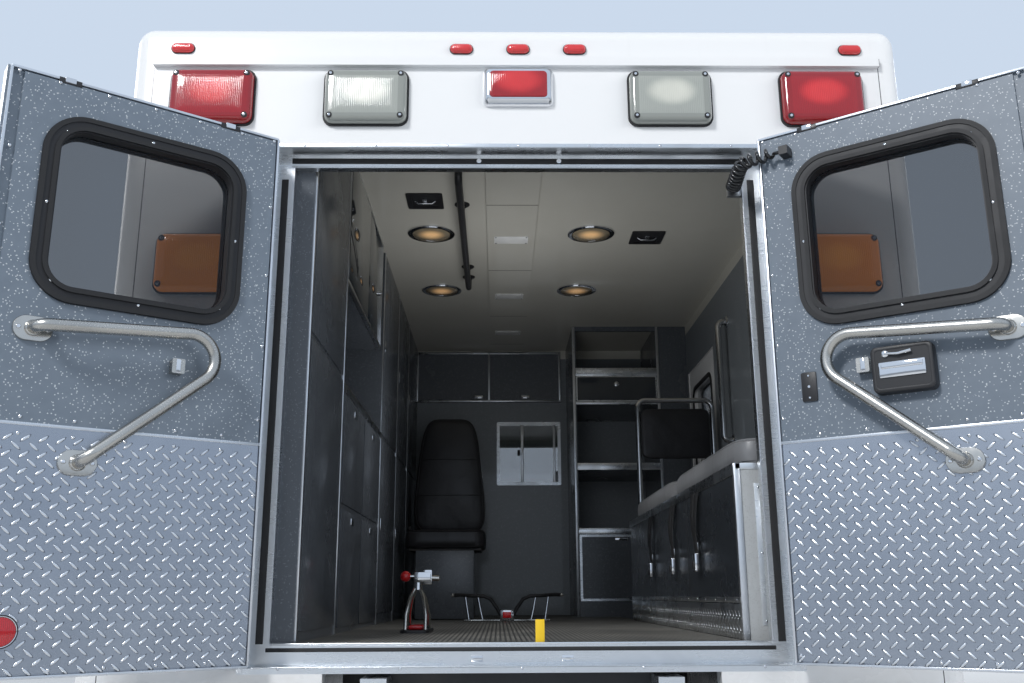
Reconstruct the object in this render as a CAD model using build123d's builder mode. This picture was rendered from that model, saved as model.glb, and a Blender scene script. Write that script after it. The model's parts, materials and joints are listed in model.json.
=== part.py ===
# A box ambulance: a van cab on a ladder frame, with a square patient module behind it.
# Millimetres. X points to the right-hand side, Y forward and Z up from the ground. The origin is
# on the ground, in the middle of the whole vehicle as it stands with both rear doors open.
import os
from math import cos, radians, sin, tan

from build123d import *

os.makedirs("parts", exist_ok=True)

# Module body
module_width = 2440
module_length = 4120
module_top = 2700
floor_top = 800
floor_depth = 60
wall = 60
corner_strip = 75
corner_radius = 60
roof_rim = 130
roof_thickness = 70
skirt_bottom = 440
drip_height = 25
drip_reach = 18

# Chassis
wheelbase = 4013
rail_spacing = 864
rail_height = 170
rail_width = 70
rail_wall = 10
tyre_radius = 372
tyre_width = 223
rim_radius = 203
rim_wall = 8
hand_holes = 8
hand_hole_radius = 17
hub_radius = 62
cap_radius = 45
cap_length = 38
spindle_radius = 25
front_hub_length = 100
rear_hub_length = 150
front_track = 1750
dual_spacing = 260
dual_overall = 2360
kingpin_inset = 85
front_arch_radius = 455
rear_arch_radius = 440

# Cab
cab_length = 2360
front_overhang = 800
cab_half = 1000
cab_foot_half = 985
cab_roof_half = 905
cab_top = 2150
belt_height = 1270
rocker_height = 480
cab_wall = 45
nose_half = 930
hood_front_height = 1080
bumper_depth = 110
windscreen_rake = 690
windscreen_foot = 1450

# Rear doors
frame_half = 772
jamb_width = 72
opening_half = frame_half - jamb_width
hinge_inset = 17
hinge_half = frame_half - hinge_inset
hinge_out = 12
frame_top = 1484
frame_bottom = 75
frame_lip = 15
leaf_edge_gap = 6
leaf_top = 1464
leaf_bottom = 55
leaf_thickness = 45
skin_thickness = 10
centre_gap = 8
seal_depth = 7
stop_depth = 30
rear_open_angle = 144
window_near = 139
window_far = 611
window_low = 888
window_high = 1328
window_corner = 72
gasket_width = 38
gasket_proud = 7
pane_thickness = 6
rubber_lip = 6

# Play between parts that move and what stands round them
door_gap = 8
shaft_play = 0.5

# Places worked out from the driving sizes
swing = radians(180 - rear_open_angle)
leaf_far = hinge_half - centre_gap / 2
leaf_outer = hinge_out
leaf_inner = leaf_outer + leaf_thickness + skin_thickness
rear_reach = hinge_out + leaf_far * sin(swing) + (leaf_outer + leaf_thickness) * cos(swing)
rear_y = rear_reach - (rear_reach + module_length + cab_length) / 2
front_y = rear_y + module_length
middle_y = rear_y + module_length / 2
side_x = module_width / 2
inner_x = side_x - wall
ceiling = module_top - roof_thickness
rim_bottom = module_top - roof_rim
floor_bottom = floor_top - floor_depth
rail_bottom = floor_bottom - rail_height
front_axle_y = front_y + cab_length - front_overhang
rear_axle_y = front_axle_y - wheelbase
wheel_z = tyre_radius
foot_y = front_y + windscreen_foot
nose_y = front_y + cab_length - bumper_depth + 20
outer_dual_x = (dual_overall - tyre_width) / 2
inner_dual_x = outer_dual_x - dual_spacing
kingpin_x = front_track / 2 - kingpin_inset
stop_y = rear_y + leaf_inner - hinge_out + seal_depth
frame_back = stop_y + stop_depth


def keep(piece, name):
    """Label one finished sub-part and write its file."""
    piece.label = name
    export_step(piece, f"parts/{name}.step")


def across(y):
    """Upright plane across the vehicle at y, seen from behind. It faces backwards."""
    return Plane(origin=(0, y, 0), x_dir=(1, 0, 0), z_dir=(0, -1, 0))


def block(x, y, z, mode=Mode.ADD):
    """A box between pairs of limits, added to the sub-part being built."""
    with Locations(((x[0] + x[1]) / 2, (y[0] + y[1]) / 2, (z[0] + z[1]) / 2)):
        Box(x[1] - x[0], y[1] - y[0], z[1] - z[0], mode=mode)


def sided(side, near, far):
    """The pair of x limits from near to far on one side, in rising order."""
    return tuple(sorted((side * near, side * far)))


# Wheels

def tyre(centre_x, centre_y):
    """One tyre with its bulged walls, turned about its axle."""
    bead = tyre_width * 0.37
    tread = tyre_width * 0.38
    hub = Plane(origin=(centre_x, centre_y, wheel_z), x_dir=(1, 0, 0), z_dir=(0, 1, 0))
    with BuildPart() as ring:
        with BuildSketch(hub):
            with BuildLine():
                wall_out = (tyre_width / 2, rim_radius + 0.45 * (tyre_radius - rim_radius))
                shoulder = (tread + 13, tyre_radius - 14)
                Line((-bead, rim_radius), (bead, rim_radius))
                ThreePointArc((bead, rim_radius), wall_out, shoulder)
                Line(shoulder, (tread, tyre_radius))
                Line((tread, tyre_radius), (-tread, tyre_radius))
                Line((-tread, tyre_radius), (-shoulder[0], shoulder[1]))
                ThreePointArc((-shoulder[0], shoulder[1]), (-wall_out[0], wall_out[1]), (-bead, rim_radius))
            make_face()
        revolve(axis=Axis((centre_x, centre_y, wheel_z), (1, 0, 0)))
    return ring.part


def rim(centre_x, centre_y, outward):
    """One steel wheel. Its disc stands half a dual spacing from the tyre, towards outward."""
    bead = tyre_width * 0.37
    join = bead * 0.45
    dish = dual_spacing / 2
    bend = 16
    flange = 108
    inner = rim_radius - rim_wall
    hub = Plane(origin=(centre_x, centre_y, wheel_z), x_dir=(outward, 0, 0), z_dir=(0, outward, 0))
    with BuildPart() as wheel:
        with BuildSketch(hub):
            with BuildLine():
                Polyline(
                    (-bead, rim_radius),
                    (bead, rim_radius),
                    (bead, inner),
                    (join + rim_wall, inner),
                    (dish - bend, flange + bend),
                    (dish, flange),
                    (dish, 0),
                    (dish - rim_wall, 0),
                    (dish - rim_wall, flange - rim_wall / 2),
                    (dish - bend - rim_wall, flange + bend - rim_wall / 2),
                    (join - rim_wall / 2, inner),
                    (-bead, inner),
                    close=True,
                )
            make_face()
        revolve(axis=Axis((centre_x, centre_y, wheel_z), (1, 0, 0)))
        face = Plane(
            origin=(centre_x + outward * dish, centre_y, wheel_z),
            x_dir=(0, 1, 0),
            z_dir=(outward, 0, 0),
        )
        with BuildSketch(face):
            with PolarLocations((flange + inner) / 2, hand_holes):
                Circle(hand_hole_radius)
        extrude(amount=-(dish - join + rim_wall), mode=Mode.SUBTRACT)
    return wheel.part


def hub_on(side, disc_x, inner_length, outer_length, centre_y):
    """Hub that runs through the wheel's disc, bored for its spindle from the inside."""
    face = Plane(origin=(side * disc_x, centre_y, wheel_z), x_dir=(0, 1, 0), z_dir=(side, 0, 0))
    with BuildPart() as hub:
        with BuildSketch(face):
            Circle(hub_radius)
        extrude(amount=-inner_length)
        with BuildSketch(face):
            Circle(cap_radius)
        extrude(amount=outer_length)
        with BuildSketch(face.offset(-inner_length)):
            Circle(spindle_radius + shaft_play)
        extrude(amount=inner_length - rim_wall, mode=Mode.SUBTRACT)
    return hub.part


front_wheel_x = front_track / 2
front_disc_x = front_wheel_x + dual_spacing / 2
rear_disc_x = outer_dual_x - dual_spacing / 2
for side, word in ((-1, "left"), (1, "right")):
    keep(tyre(side * front_wheel_x, front_axle_y), f"front_tyre_{word}")
    dual_tyres = [tyre(side * x, rear_axle_y) for x in (outer_dual_x, inner_dual_x)]
    single_wheel = rim(side * front_wheel_x, front_axle_y, side)
    dual_wheels = [
        rim(side * outer_dual_x, rear_axle_y, -side),
        rim(side * inner_dual_x, rear_axle_y, side),
    ]
    front_hub = hub_on(side, front_disc_x, front_hub_length, cap_length, front_axle_y)
    rear_hub = hub_on(side, rear_disc_x, rear_hub_length, cap_length, rear_axle_y)
    with BuildPart() as front_rim:
        add(single_wheel)
        add(front_hub)
    keep(front_rim.part, f"front_rim_{word}")
    with BuildPart() as rear_tyres:
        add(dual_tyres)
    keep(rear_tyres.part, f"rear_tyres_{word}")
    with BuildPart() as rear_rims:
        add(dual_wheels)
        add(rear_hub)
    keep(rear_rims.part, f"rear_rims_{word}")

# Knuckles, each on its kingpin, with the spindle that carries the front wheel
kingpin_radius = 18
knuckle_height = 220
beam_depth = 90
boss_radius = 42
for side, word in ((-1, "left"), (1, "right")):
    pin_line = Plane.XY.offset(wheel_z - knuckle_height / 2)
    with BuildPart() as knuckle:
        with BuildSketch(pin_line):
            with Locations((side * kingpin_x, front_axle_y)):
                RectangleRounded(2 * (kingpin_radius + 22), 2 * (kingpin_radius + 22), 12)
        extrude(amount=knuckle_height)
        block(
            (side * kingpin_x - 70, side * kingpin_x + 70),
            (front_axle_y - 70, front_axle_y + 70),
            (wheel_z - beam_depth / 2 - 5, wheel_z + beam_depth / 2 + 5),
            mode=Mode.SUBTRACT,
        )
        with BuildSketch(pin_line):
            with Locations((side * kingpin_x, front_axle_y)):
                Circle(kingpin_radius)
        extrude(amount=knuckle_height)
        upright = side * (kingpin_x + boss_radius + 18)
        block(
            (upright - 12, upright + 12),
            (front_axle_y - 40, front_axle_y + 40),
            (wheel_z - knuckle_height / 2, wheel_z + knuckle_height / 2),
        )
        for low in (wheel_z - knuckle_height / 2, wheel_z + beam_depth / 2 + 5):
            block(
                sided(side, kingpin_x, kingpin_x + boss_radius + 18),
                (front_axle_y - 40, front_axle_y + 40),
                (low, low + knuckle_height / 2 - beam_depth / 2 - 5),
            )
        spindle = Plane(
            origin=(upright, front_axle_y, wheel_z),
            x_dir=(0, 1, 0),
            z_dir=(side, 0, 0),
        )
        with BuildSketch(spindle):
            Circle(spindle_radius)
        extrude(amount=front_disc_x - abs(upright) - 2 * rim_wall)
    keep(knuckle.part, f"knuckle_{word}")

# Axles, springs, frame and what hangs from them
rail_x = rail_spacing / 2
rail_back = frame_back + 4
bracket_back = rear_y - 40
rail_front = nose_y - cab_wall
beam_width = 80
axle_tube_radius = 58
spring_width = 64
spring_thickness = 30
front_spring_half = 430
rear_spring_half = 620
hanger_thickness = 36
spring_end_gap = 26
axle_end_gap = 20
spindle_end_gap = 4


def leaf_spring(centre_x, centre_y, seat_z, half):
    """A leaf spring that curves up to the frame rail, with its two hangers."""
    end_z = rail_bottom - spring_end_gap - spring_thickness
    with BuildPart() as spring:
        with BuildSketch(Plane.YZ.offset(centre_x - spring_width / 2)):
            with BuildLine():
                lower = ThreePointArc(
                    (centre_y - half, end_z),
                    (centre_y, seat_z),
                    (centre_y + half, end_z),
                )
                upper = ThreePointArc(
                    (centre_y - half, end_z + spring_thickness),
                    (centre_y, seat_z + spring_thickness),
                    (centre_y + half, end_z + spring_thickness),
                )
                Line(lower @ 0, upper @ 0)
                Line(lower @ 1, upper @ 1)
            make_face()
        extrude(amount=spring_width)
        for end in (centre_y - half, centre_y + half - hanger_thickness):
            block(
                (centre_x - spring_width / 2, centre_x + spring_width / 2),
                (end, end + hanger_thickness),
                (end_z + spring_thickness / 2, rail_bottom),
            )
    return spring.part


spring_x = rail_x - rail_width / 2
front_seat = wheel_z + beam_depth / 2 - 6
rear_seat = wheel_z + axle_tube_radius - 6
front_springs = [leaf_spring(x, front_axle_y, front_seat, front_spring_half) for x in (-spring_x, spring_x)]
rear_springs = [leaf_spring(x, rear_axle_y, rear_seat, rear_spring_half) for x in (-spring_x, spring_x)]

with BuildPart() as front_axle:
    block(
        (-kingpin_x, kingpin_x),
        (front_axle_y - beam_width / 2, front_axle_y + beam_width / 2),
        (wheel_z - beam_depth / 2, wheel_z + beam_depth / 2),
    )
    with BuildSketch(Plane.XY.offset(wheel_z - beam_depth / 2)):
        with Locations((kingpin_x, front_axle_y), (-kingpin_x, front_axle_y)):
            Circle(boss_radius)
    extrude(amount=beam_depth)
    with BuildSketch(Plane.XY.offset(wheel_z - beam_depth / 2)):
        with Locations((kingpin_x, front_axle_y), (-kingpin_x, front_axle_y)):
            Circle(kingpin_radius + shaft_play)
    extrude(amount=beam_depth, mode=Mode.SUBTRACT)
    add(front_springs)
keep(front_axle.part, "front_axle")

gearbox_back = front_y + 700
shaft_radius = 45
housing_radius = 165
gearbox_z = rail_bottom + 20
with BuildPart() as rear_axle:
    with BuildSketch(Plane.YZ.offset(-(rear_disc_x - rear_hub_length - axle_end_gap))):
        with Locations((rear_axle_y, wheel_z)):
            Circle(axle_tube_radius)
    extrude(amount=2 * (rear_disc_x - rear_hub_length - axle_end_gap))
    with BuildSketch(Plane.YZ.offset(-(rear_disc_x - rim_wall - spindle_end_gap))):
        with Locations((rear_axle_y, wheel_z)):
            Circle(spindle_radius)
    extrude(amount=2 * (rear_disc_x - rim_wall - spindle_end_gap))
    with BuildSketch(Plane(origin=(0, rear_axle_y, wheel_z), x_dir=(1, 0, 0), z_dir=(0, 1, 0))):
        with BuildLine():
            Line((-housing_radius, 0), (housing_radius, 0))
            ThreePointArc((housing_radius, 0), (0, housing_radius), (-housing_radius, 0))
        make_face()
    revolve(axis=Axis((0, rear_axle_y, wheel_z), (1, 0, 0)))
    add(rear_springs)
    shaft_run = Vector(0, gearbox_back - rear_axle_y, gearbox_z - wheel_z)
    with BuildSketch(Plane(origin=(0, rear_axle_y, wheel_z), x_dir=(1, 0, 0), z_dir=shaft_run)):
        Circle(shaft_radius)
    extrude(amount=shaft_run.length - shaft_radius)
keep(rear_axle.part, "rear_axle")

engine_half = 280
engine_low = 500
engine_high = 1060
engine_back = front_y + 1480
engine_front = front_y + 2040
pipe_radius = 28
pipe_x = 500
pipe_z = 530
pipe_start = engine_back + 60
pipe_end = rear_y + 70
silencer_radius = 62
silencer_length = 560
silencer_y = front_y - 900
with BuildPart() as engine_and_exhaust:
    block((-engine_half, engine_half), (engine_back, engine_front), (engine_low, engine_high))
    block((-150, 150), (gearbox_back, engine_back), (engine_low + 20, floor_bottom - 40))
    with BuildLine() as pipe_line:
        FilletPolyline(
            (engine_half - 10, pipe_start, pipe_z),
            (pipe_x, pipe_start, pipe_z),
            (pipe_x, pipe_end, pipe_z),
            radius=3 * pipe_radius,
        )
    with BuildSketch(Plane(origin=pipe_line.line @ 0, z_dir=pipe_line.line % 0)):
        Circle(pipe_radius)
    sweep(path=pipe_line.line)
    with BuildSketch(across(silencer_y)):
        with Locations((pipe_x, pipe_z)):
            Circle(silencer_radius)
    extrude(amount=silencer_length)
keep(engine_and_exhaust.part, "engine_and_exhaust")

tank_half = 330
tank_depth = 230
tank_bottom = 420
tank_back = rear_y + 230
tank_length = 900
crossmember_width = 70
crossmember_height = 90
crossmembers = (
    rear_y + 100,
    rear_y + 420,
    rear_axle_y - 737,
    front_y - 1670,
    front_y - 820,
    front_y + 300,
    rail_front - 160,
)
with BuildPart() as chassis_frame:
    with BuildSketch(across(rail_back)):
        with Locations((-(rail_x - rail_width / 2), rail_bottom + rail_height / 2)):
            Rectangle(rail_width, rail_height)
        with Locations((-(rail_x - rail_width / 2) + rail_wall, rail_bottom + rail_height / 2)):
            Rectangle(rail_width, rail_height - 2 * rail_wall, mode=Mode.SUBTRACT)
        mirror(about=Plane.YZ)
    extrude(amount=-(rail_front - rail_back))
    for start in crossmembers:
        block(
            (-(rail_x - rail_wall), rail_x - rail_wall),
            (start, start + crossmember_width),
            (floor_bottom - 10 - crossmember_height, floor_bottom - 10),
        )
    with BuildSketch(Plane.XY.offset(tank_bottom)):
        with Locations((0, tank_back + tank_length / 2)):
            RectangleRounded(2 * tank_half, tank_length, 60)
    extrude(amount=tank_depth)
keep(chassis_frame.part, "chassis_frame")

# Bumpers
bumper_side_gap = 15
bumper_half = cab_half - bumper_side_gap
bumper_low = 410
bumper_high = 600
bumper_bow = 60
bumper_skin = 40
bumper_front = front_y + cab_length
with BuildPart() as front_bumper:
    with BuildSketch(Plane.XY.offset(bumper_low)):
        with BuildLine():
            Line((0, bumper_front - bumper_skin), (0, bumper_front))
            face = ThreePointArc(
                (0, bumper_front),
                (bumper_half / 2, bumper_front - bumper_bow / 4),
                (bumper_half - 40, bumper_front - bumper_bow),
            )
            Polyline(
                face @ 1,
                (bumper_half, bumper_front - 2.2 * bumper_bow),
                (bumper_half, bumper_front - 4.5 * bumper_bow),
                (bumper_half - 30, bumper_front - 4.5 * bumper_bow),
                (bumper_half - 30, bumper_front - 2.4 * bumper_bow),
                (bumper_half - 60, bumper_front - bumper_bow - bumper_skin),
            )
            ThreePointArc(
                (bumper_half - 60, bumper_front - bumper_bow - bumper_skin),
                (bumper_half / 2, bumper_front - bumper_bow / 4 - bumper_skin),
                (0, bumper_front - bumper_skin),
            )
        make_face()
        mirror(about=Plane.YZ)
    extrude(amount=bumper_high - bumper_low)
    for side in (-1, 1):
        block(
            sided(side, rail_x - rail_width, rail_x),
            (rail_front, bumper_front - 45),
            (rail_bottom - 60, bumper_high),
        )
keep(front_bumper.part, "front_bumper")

step_depth = 230
step_half = 1130
step_top = 545
step_height = 110
shield_gap = 10
tray_margin = 60
tray_rim = 30
tray_depth = 12
step_slats = 9
pad_half = 90
ball_hole_radius = 16
plate_spacing = 178
plate_height = 500
plate_hole_radius = 3.5
plate_hole_depth = 20
with BuildPart() as rear_step_bumper:
    block((-step_half, step_half), (rear_y - step_depth, rear_y - 6), (step_top - step_height, step_top))
    fillet(rear_step_bumper.edges().filter_by(Axis.Z).group_by(Axis.Y)[0], 45)
    block(
        (-step_half + tray_margin, step_half - tray_margin),
        (rear_y - step_depth + tray_rim, rear_y - tray_rim - 6),
        (step_top - tray_depth, step_top),
        Mode.SUBTRACT,
    )
    pitch = (step_depth - 2 * tray_rim - 6) / step_slats
    for number in range(step_slats):
        start = rear_y - step_depth + tray_rim + (number + 0.3) * pitch
        block(
            (-step_half + tray_margin, step_half - tray_margin),
            (start, start + 0.4 * pitch),
            (step_top - tray_depth, step_top - 2),
        )
    for side in (-1, 1):
        block(
            sided(side, rail_x - rail_width, rail_x),
            (bracket_back, rail_back),
            (step_top - step_height, floor_top - frame_bottom - shield_gap),
        )
    block((-pad_half, pad_half), (rear_y - step_depth + 20, rear_y - 20), (step_top - tray_depth, step_top))
    with Locations((0, rear_y - step_depth / 2, step_top)):
        Hole(ball_hole_radius, step_height)
    with BuildSketch(across(rear_y - step_depth)):
        with GridLocations(plate_spacing, 1, 2, 1):
            with Locations((0, plate_height)):
                Circle(plate_hole_radius)
    extrude(amount=-plate_hole_depth, mode=Mode.SUBTRACT)
keep(rear_step_bumper.part, "rear_step_bumper")

# Module body. Each list of side openings has the columns: back, front, bottom, top.
side_door_width = 740
side_door_back = front_y - side_door_width - 760
side_door_low = 500
side_door_high = 2300
wheel_box_half = 480
hatch_box_clear = 37
hatch_rim = 60
hatch_box_front = rear_axle_y - wheel_box_half - hatch_box_clear - rear_y
rear_hatch_front = rear_y + hatch_box_front - hatch_rim
left_rear_hatch = (rear_y + 150, rear_hatch_front, 500, 1500)
left_front_hatch = (front_y - 790, front_y - 120, 500, 2120)
right_rear_hatch = (rear_y + 190, rear_hatch_front, 500, 1270)
side_door_gap = (side_door_back, side_door_back + side_door_width, side_door_low, side_door_high)
side_openings = {-1: (left_rear_hatch, left_front_hatch), 1: (right_rear_hatch, side_door_gap)}

for side, word in ((-1, "left"), (1, "right")):
    with BuildPart() as side_wall:
        block(sided(side, inner_x, side_x), (rear_y, front_y), (skirt_bottom, rim_bottom))
        for start in (rear_y, front_y - wall):
            block(sided(side, side_x - corner_strip, side_x), (start, start + wall), (skirt_bottom, rim_bottom))
        outer = side_wall.edges().filter_by(Axis.Z).group_by(Axis.X)[0 if side < 0 else -1]
        fillet(outer, corner_radius)
        with BuildSketch(Plane.YZ.offset(side * side_x - side * wall / 2)):
            with Locations((rear_axle_y, wheel_z)):
                Circle(rear_arch_radius)
        extrude(amount=wall, both=True, mode=Mode.SUBTRACT)
        for back, front, low, high in side_openings[side]:
            block(sided(side, inner_x - 1, side_x + 1), (back, front), (low, high), Mode.SUBTRACT)
    keep(side_wall.part, f"module_{word}_wall")

under_pass_half = pipe_x + pipe_radius + 12
with BuildPart() as module_rear_wall:
    block((-side_x + corner_strip, side_x - corner_strip), (rear_y, rear_y + wall), (skirt_bottom, rim_bottom))
    block(
        (-frame_half, frame_half),
        (rear_y, rear_y + wall),
        (floor_top - frame_bottom, floor_top + frame_top),
        Mode.SUBTRACT,
    )
    block(
        (-under_pass_half, under_pass_half),
        (rear_y, rear_y + wall),
        (skirt_bottom, floor_top - frame_bottom),
        Mode.SUBTRACT,
    )
keep(module_rear_wall.part, "module_rear_wall")

passage_half = 210
passage_x = 150
passage_low = floor_top + 885
passage_high = floor_top + 1297
with BuildPart() as module_front_wall:
    block(
        (-side_x + corner_strip, side_x - corner_strip),
        (front_y - wall, front_y),
        (skirt_bottom, rim_bottom),
    )
    block(
        (passage_x - passage_half, passage_x + passage_half),
        (front_y - wall, front_y),
        (passage_low, passage_high),
        Mode.SUBTRACT,
    )
    block(
        (-under_pass_half, under_pass_half),
        (front_y - wall, front_y),
        (skirt_bottom, floor_bottom),
        Mode.SUBTRACT,
    )
keep(module_front_wall.part, "module_front_wall")

raceway_half = 116
raceway_back = rear_y + 950
raceway_front = front_y - 160
raceway_drop = 14
dome_radius = 100
dome_depth = 34
dome_x = 387
dome_ys = (middle_y - 370, middle_y + 540)
with BuildPart() as module_roof:
    with BuildSketch(Plane.XY.offset(rim_bottom)):
        with Locations((0, middle_y)):
            Rectangle(module_width, module_length)
    extrude(amount=roof_rim)
    top_edges = module_roof.faces().sort_by(Axis.Z)[-1].edges()
    fillet(module_roof.edges().filter_by(Axis.Z) + top_edges, corner_radius - 1)
    with BuildSketch(Plane.XY.offset(rim_bottom)):
        with Locations((0, middle_y)):
            Rectangle(module_width - 2 * wall, module_length - 2 * wall)
    extrude(amount=roof_rim - roof_thickness, mode=Mode.SUBTRACT)
    block((-raceway_half, raceway_half), (raceway_back, raceway_front), (ceiling - raceway_drop, ceiling))
    with BuildSketch(Plane.XY.offset(ceiling)):
        with Locations(*[(x, y) for x in (-dome_x, dome_x) for y in dome_ys]):
            Circle(dome_radius)
    extrude(amount=dome_depth, mode=Mode.SUBTRACT)
    block(
        (-side_x + corner_strip, side_x - corner_strip),
        (rear_y - drip_reach, rear_y),
        (rim_bottom - drip_height, rim_bottom + drip_height / 4),
    )
keep(module_roof.part, "module_roof")

wheel_box_near = 660
wheel_box_top = 880
wheel_box_wall = 8
floor_half = 660
step_margin = 40
step_floor = 16
with BuildPart() as module_floor:
    block((-floor_half, floor_half), (frame_back, front_y - wall), (floor_bottom, floor_top))
    for side in (-1, 1):
        block(
            sided(side, wheel_box_near, inner_x),
            (rear_axle_y - wheel_box_half, rear_axle_y + wheel_box_half),
            (skirt_bottom + 120, wheel_box_top),
        )
        block(
            sided(side, wheel_box_near + wheel_box_wall, inner_x),
            (
                rear_axle_y - wheel_box_half + wheel_box_wall,
                rear_axle_y + wheel_box_half - wheel_box_wall,
            ),
            (skirt_bottom + 120, wheel_box_top - wheel_box_wall),
            Mode.SUBTRACT,
        )
    block(
        (floor_half, inner_x),
        (side_door_back - step_margin, side_door_back + side_door_width + step_margin),
        (side_door_low - step_floor, side_door_low),
    )
    block(
        (floor_half, floor_half + step_floor),
        (side_door_back - step_margin, side_door_back + side_door_width + step_margin),
        (side_door_low, floor_top),
    )
keep(module_floor.part, "module_floor")

# Rear door frame: an outer lip round the closed leaves and a deeper step that they shut against
header_drop = 54
lead_below_header = 58
lead_height = frame_top - header_drop - lead_below_header
lead_rise = 36
lead_radius = 25
lead_gap = 4
socket_inset = 8
socket_half = 13
socket_along = 85
jamb_lead_z = floor_top + lead_height - lead_rise / 2
lead_x = opening_half - lead_gap - lead_radius
with BuildPart() as rear_door_frame:
    with BuildSketch(across(rear_y)):
        with Locations((0, floor_top + (frame_top - frame_bottom) / 2)):
            Rectangle(2 * frame_half, frame_top + frame_bottom)
            Rectangle(
                2 * (frame_half - frame_lip),
                frame_top + frame_bottom - 2 * frame_lip,
                mode=Mode.SUBTRACT,
            )
    extrude(amount=-(stop_y - rear_y))
    with BuildSketch(across(stop_y)):
        with Locations((0, floor_top + (frame_top - frame_bottom) / 2)):
            Rectangle(2 * frame_half, frame_top + frame_bottom)
        with Locations((0, floor_top + (frame_top - header_drop) / 2)):
            Rectangle(2 * opening_half, frame_top - header_drop, mode=Mode.SUBTRACT)
    extrude(amount=-(frame_back - stop_y))
    block(
        (lead_x - socket_half, opening_half),
        (stop_y + socket_inset, frame_back - 4),
        (jamb_lead_z - socket_half, jamb_lead_z + socket_half),
    )
keep(rear_door_frame.part, "rear_door_frame")

# Rear doors, drawn open on the right-hand hinge line and mirrored for the left
hinge_y = rear_y - hinge_out
open_dir = Vector(cos(swing), -sin(swing), 0)
inward_dir = Vector(-sin(swing), -cos(swing), 0)
leaf_plane = Plane(origin=(hinge_half, hinge_y, floor_top), x_dir=open_dir, z_dir=inward_dir)
leaf_near = leaf_edge_gap
window_middle = ((window_near + window_far) / 2, (window_low + window_high) / 2)
window_long = window_far - window_near
window_tall = window_high - window_low
hinge_leaf = 24
hinge_leaf_thickness = 5
barrel_radius = 8
skin_margin = 12
skin_free_margin = 40
skin_split = 536
skin_seam = 3
rail_tube_radius = 16
rail_stand = 55
rail_foot_radius = 34
rail_bend_radius = 67
rail_upper_foot = (620, 773)
rail_corner = (35, 825)
rail_lower_foot = (484, 450)
latch_centre = (365, 700)
latch_size = (155, 122)
latch_depth = 34
bracket_at = (262, 722)
bracket_size = (34, 40)
bracket_depth = 26
flange_length = 26
flange_width = 62
flange_thickness = 5
reflector_depth = 9
reflector_at = (612, 52)
reflector_radius = 38


def leaf_point(along, up, out):
    """A point given along the leaf from the hinge, up from the floor and out from the hinge plane."""
    point = leaf_plane.origin + leaf_plane.x_dir * along + leaf_plane.z_dir * out
    return (point.X, point.Y, point.Z + up)


with BuildPart() as rear_door_right:
    with BuildSketch(leaf_plane.offset(leaf_outer)):
        with Locations(((leaf_near + leaf_far) / 2, (leaf_top - leaf_bottom) / 2)):
            Rectangle(leaf_far - leaf_near, leaf_top + leaf_bottom)
    extrude(amount=leaf_thickness)
    with BuildSketch(leaf_plane.offset(leaf_outer + leaf_thickness)):
        skin_near = leaf_near + skin_margin
        skin_far = leaf_far - skin_free_margin
        for low, high in (
            (-leaf_bottom + skin_margin, skin_split - skin_seam / 2),
            (skin_split + skin_seam / 2, leaf_top - skin_margin),
        ):
            with Locations(((skin_near + skin_far) / 2, (low + high) / 2)):
                Rectangle(skin_far - skin_near, high - low)
    extrude(amount=skin_thickness)
    with BuildSketch(leaf_plane.offset(leaf_outer)):
        with Locations(window_middle):
            RectangleRounded(window_long, window_tall, window_corner)
    extrude(amount=leaf_thickness + skin_thickness, mode=Mode.SUBTRACT)
    with BuildSketch(Plane.XY.offset(floor_top - leaf_bottom)):
        with Locations((hinge_half, hinge_y)):
            Circle(barrel_radius)
    extrude(amount=leaf_top + leaf_bottom)
    with BuildSketch(leaf_plane.offset(leaf_outer - hinge_leaf_thickness)):
        with Locations((hinge_leaf / 2, (leaf_top - leaf_bottom) / 2)):
            Rectangle(hinge_leaf, leaf_top + leaf_bottom)
    extrude(amount=hinge_leaf_thickness)
with BuildPart() as rear_door_left:
    mirror(rear_door_right.part, about=Plane.YZ)
keep(rear_door_right.part, "rear_door_right")
keep(rear_door_left.part, "rear_door_left")

def window_ring(start, depth, outer, inner):
    """Ring in the leaf's window, between two outlines that lie so far outside the window's edge."""
    with BuildPart() as ring:
        with BuildSketch(leaf_plane.offset(start)):
            with Locations(window_middle):
                RectangleRounded(window_long + 2 * outer, window_tall + 2 * outer, window_corner + outer)
                RectangleRounded(
                    window_long + 2 * inner,
                    window_tall + 2 * inner,
                    window_corner + inner,
                    mode=Mode.SUBTRACT,
                )
        extrude(amount=depth)
    return ring.part


outer_rubber = window_ring(leaf_outer - gasket_proud, gasket_proud, gasket_width, 0)
inner_rubber = window_ring(leaf_inner, gasket_proud, gasket_width, 0)
rubber_web = window_ring(leaf_outer - gasket_proud, leaf_inner - leaf_outer + 2 * gasket_proud, 0, -rubber_lip)
with BuildPart() as rear_door_glass_right:
    add([outer_rubber, inner_rubber, rubber_web])
    with BuildSketch(leaf_plane.offset((leaf_outer + leaf_inner - pane_thickness) / 2)):
        with Locations(window_middle):
            RectangleRounded(window_long, window_tall, window_corner)
    extrude(amount=pane_thickness)
with BuildPart() as rear_door_glass_left:
    mirror(rear_door_glass_right.part, about=Plane.YZ)
keep(rear_door_glass_right.part, "rear_door_glass_right")
keep(rear_door_glass_left.part, "rear_door_glass_left")


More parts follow.
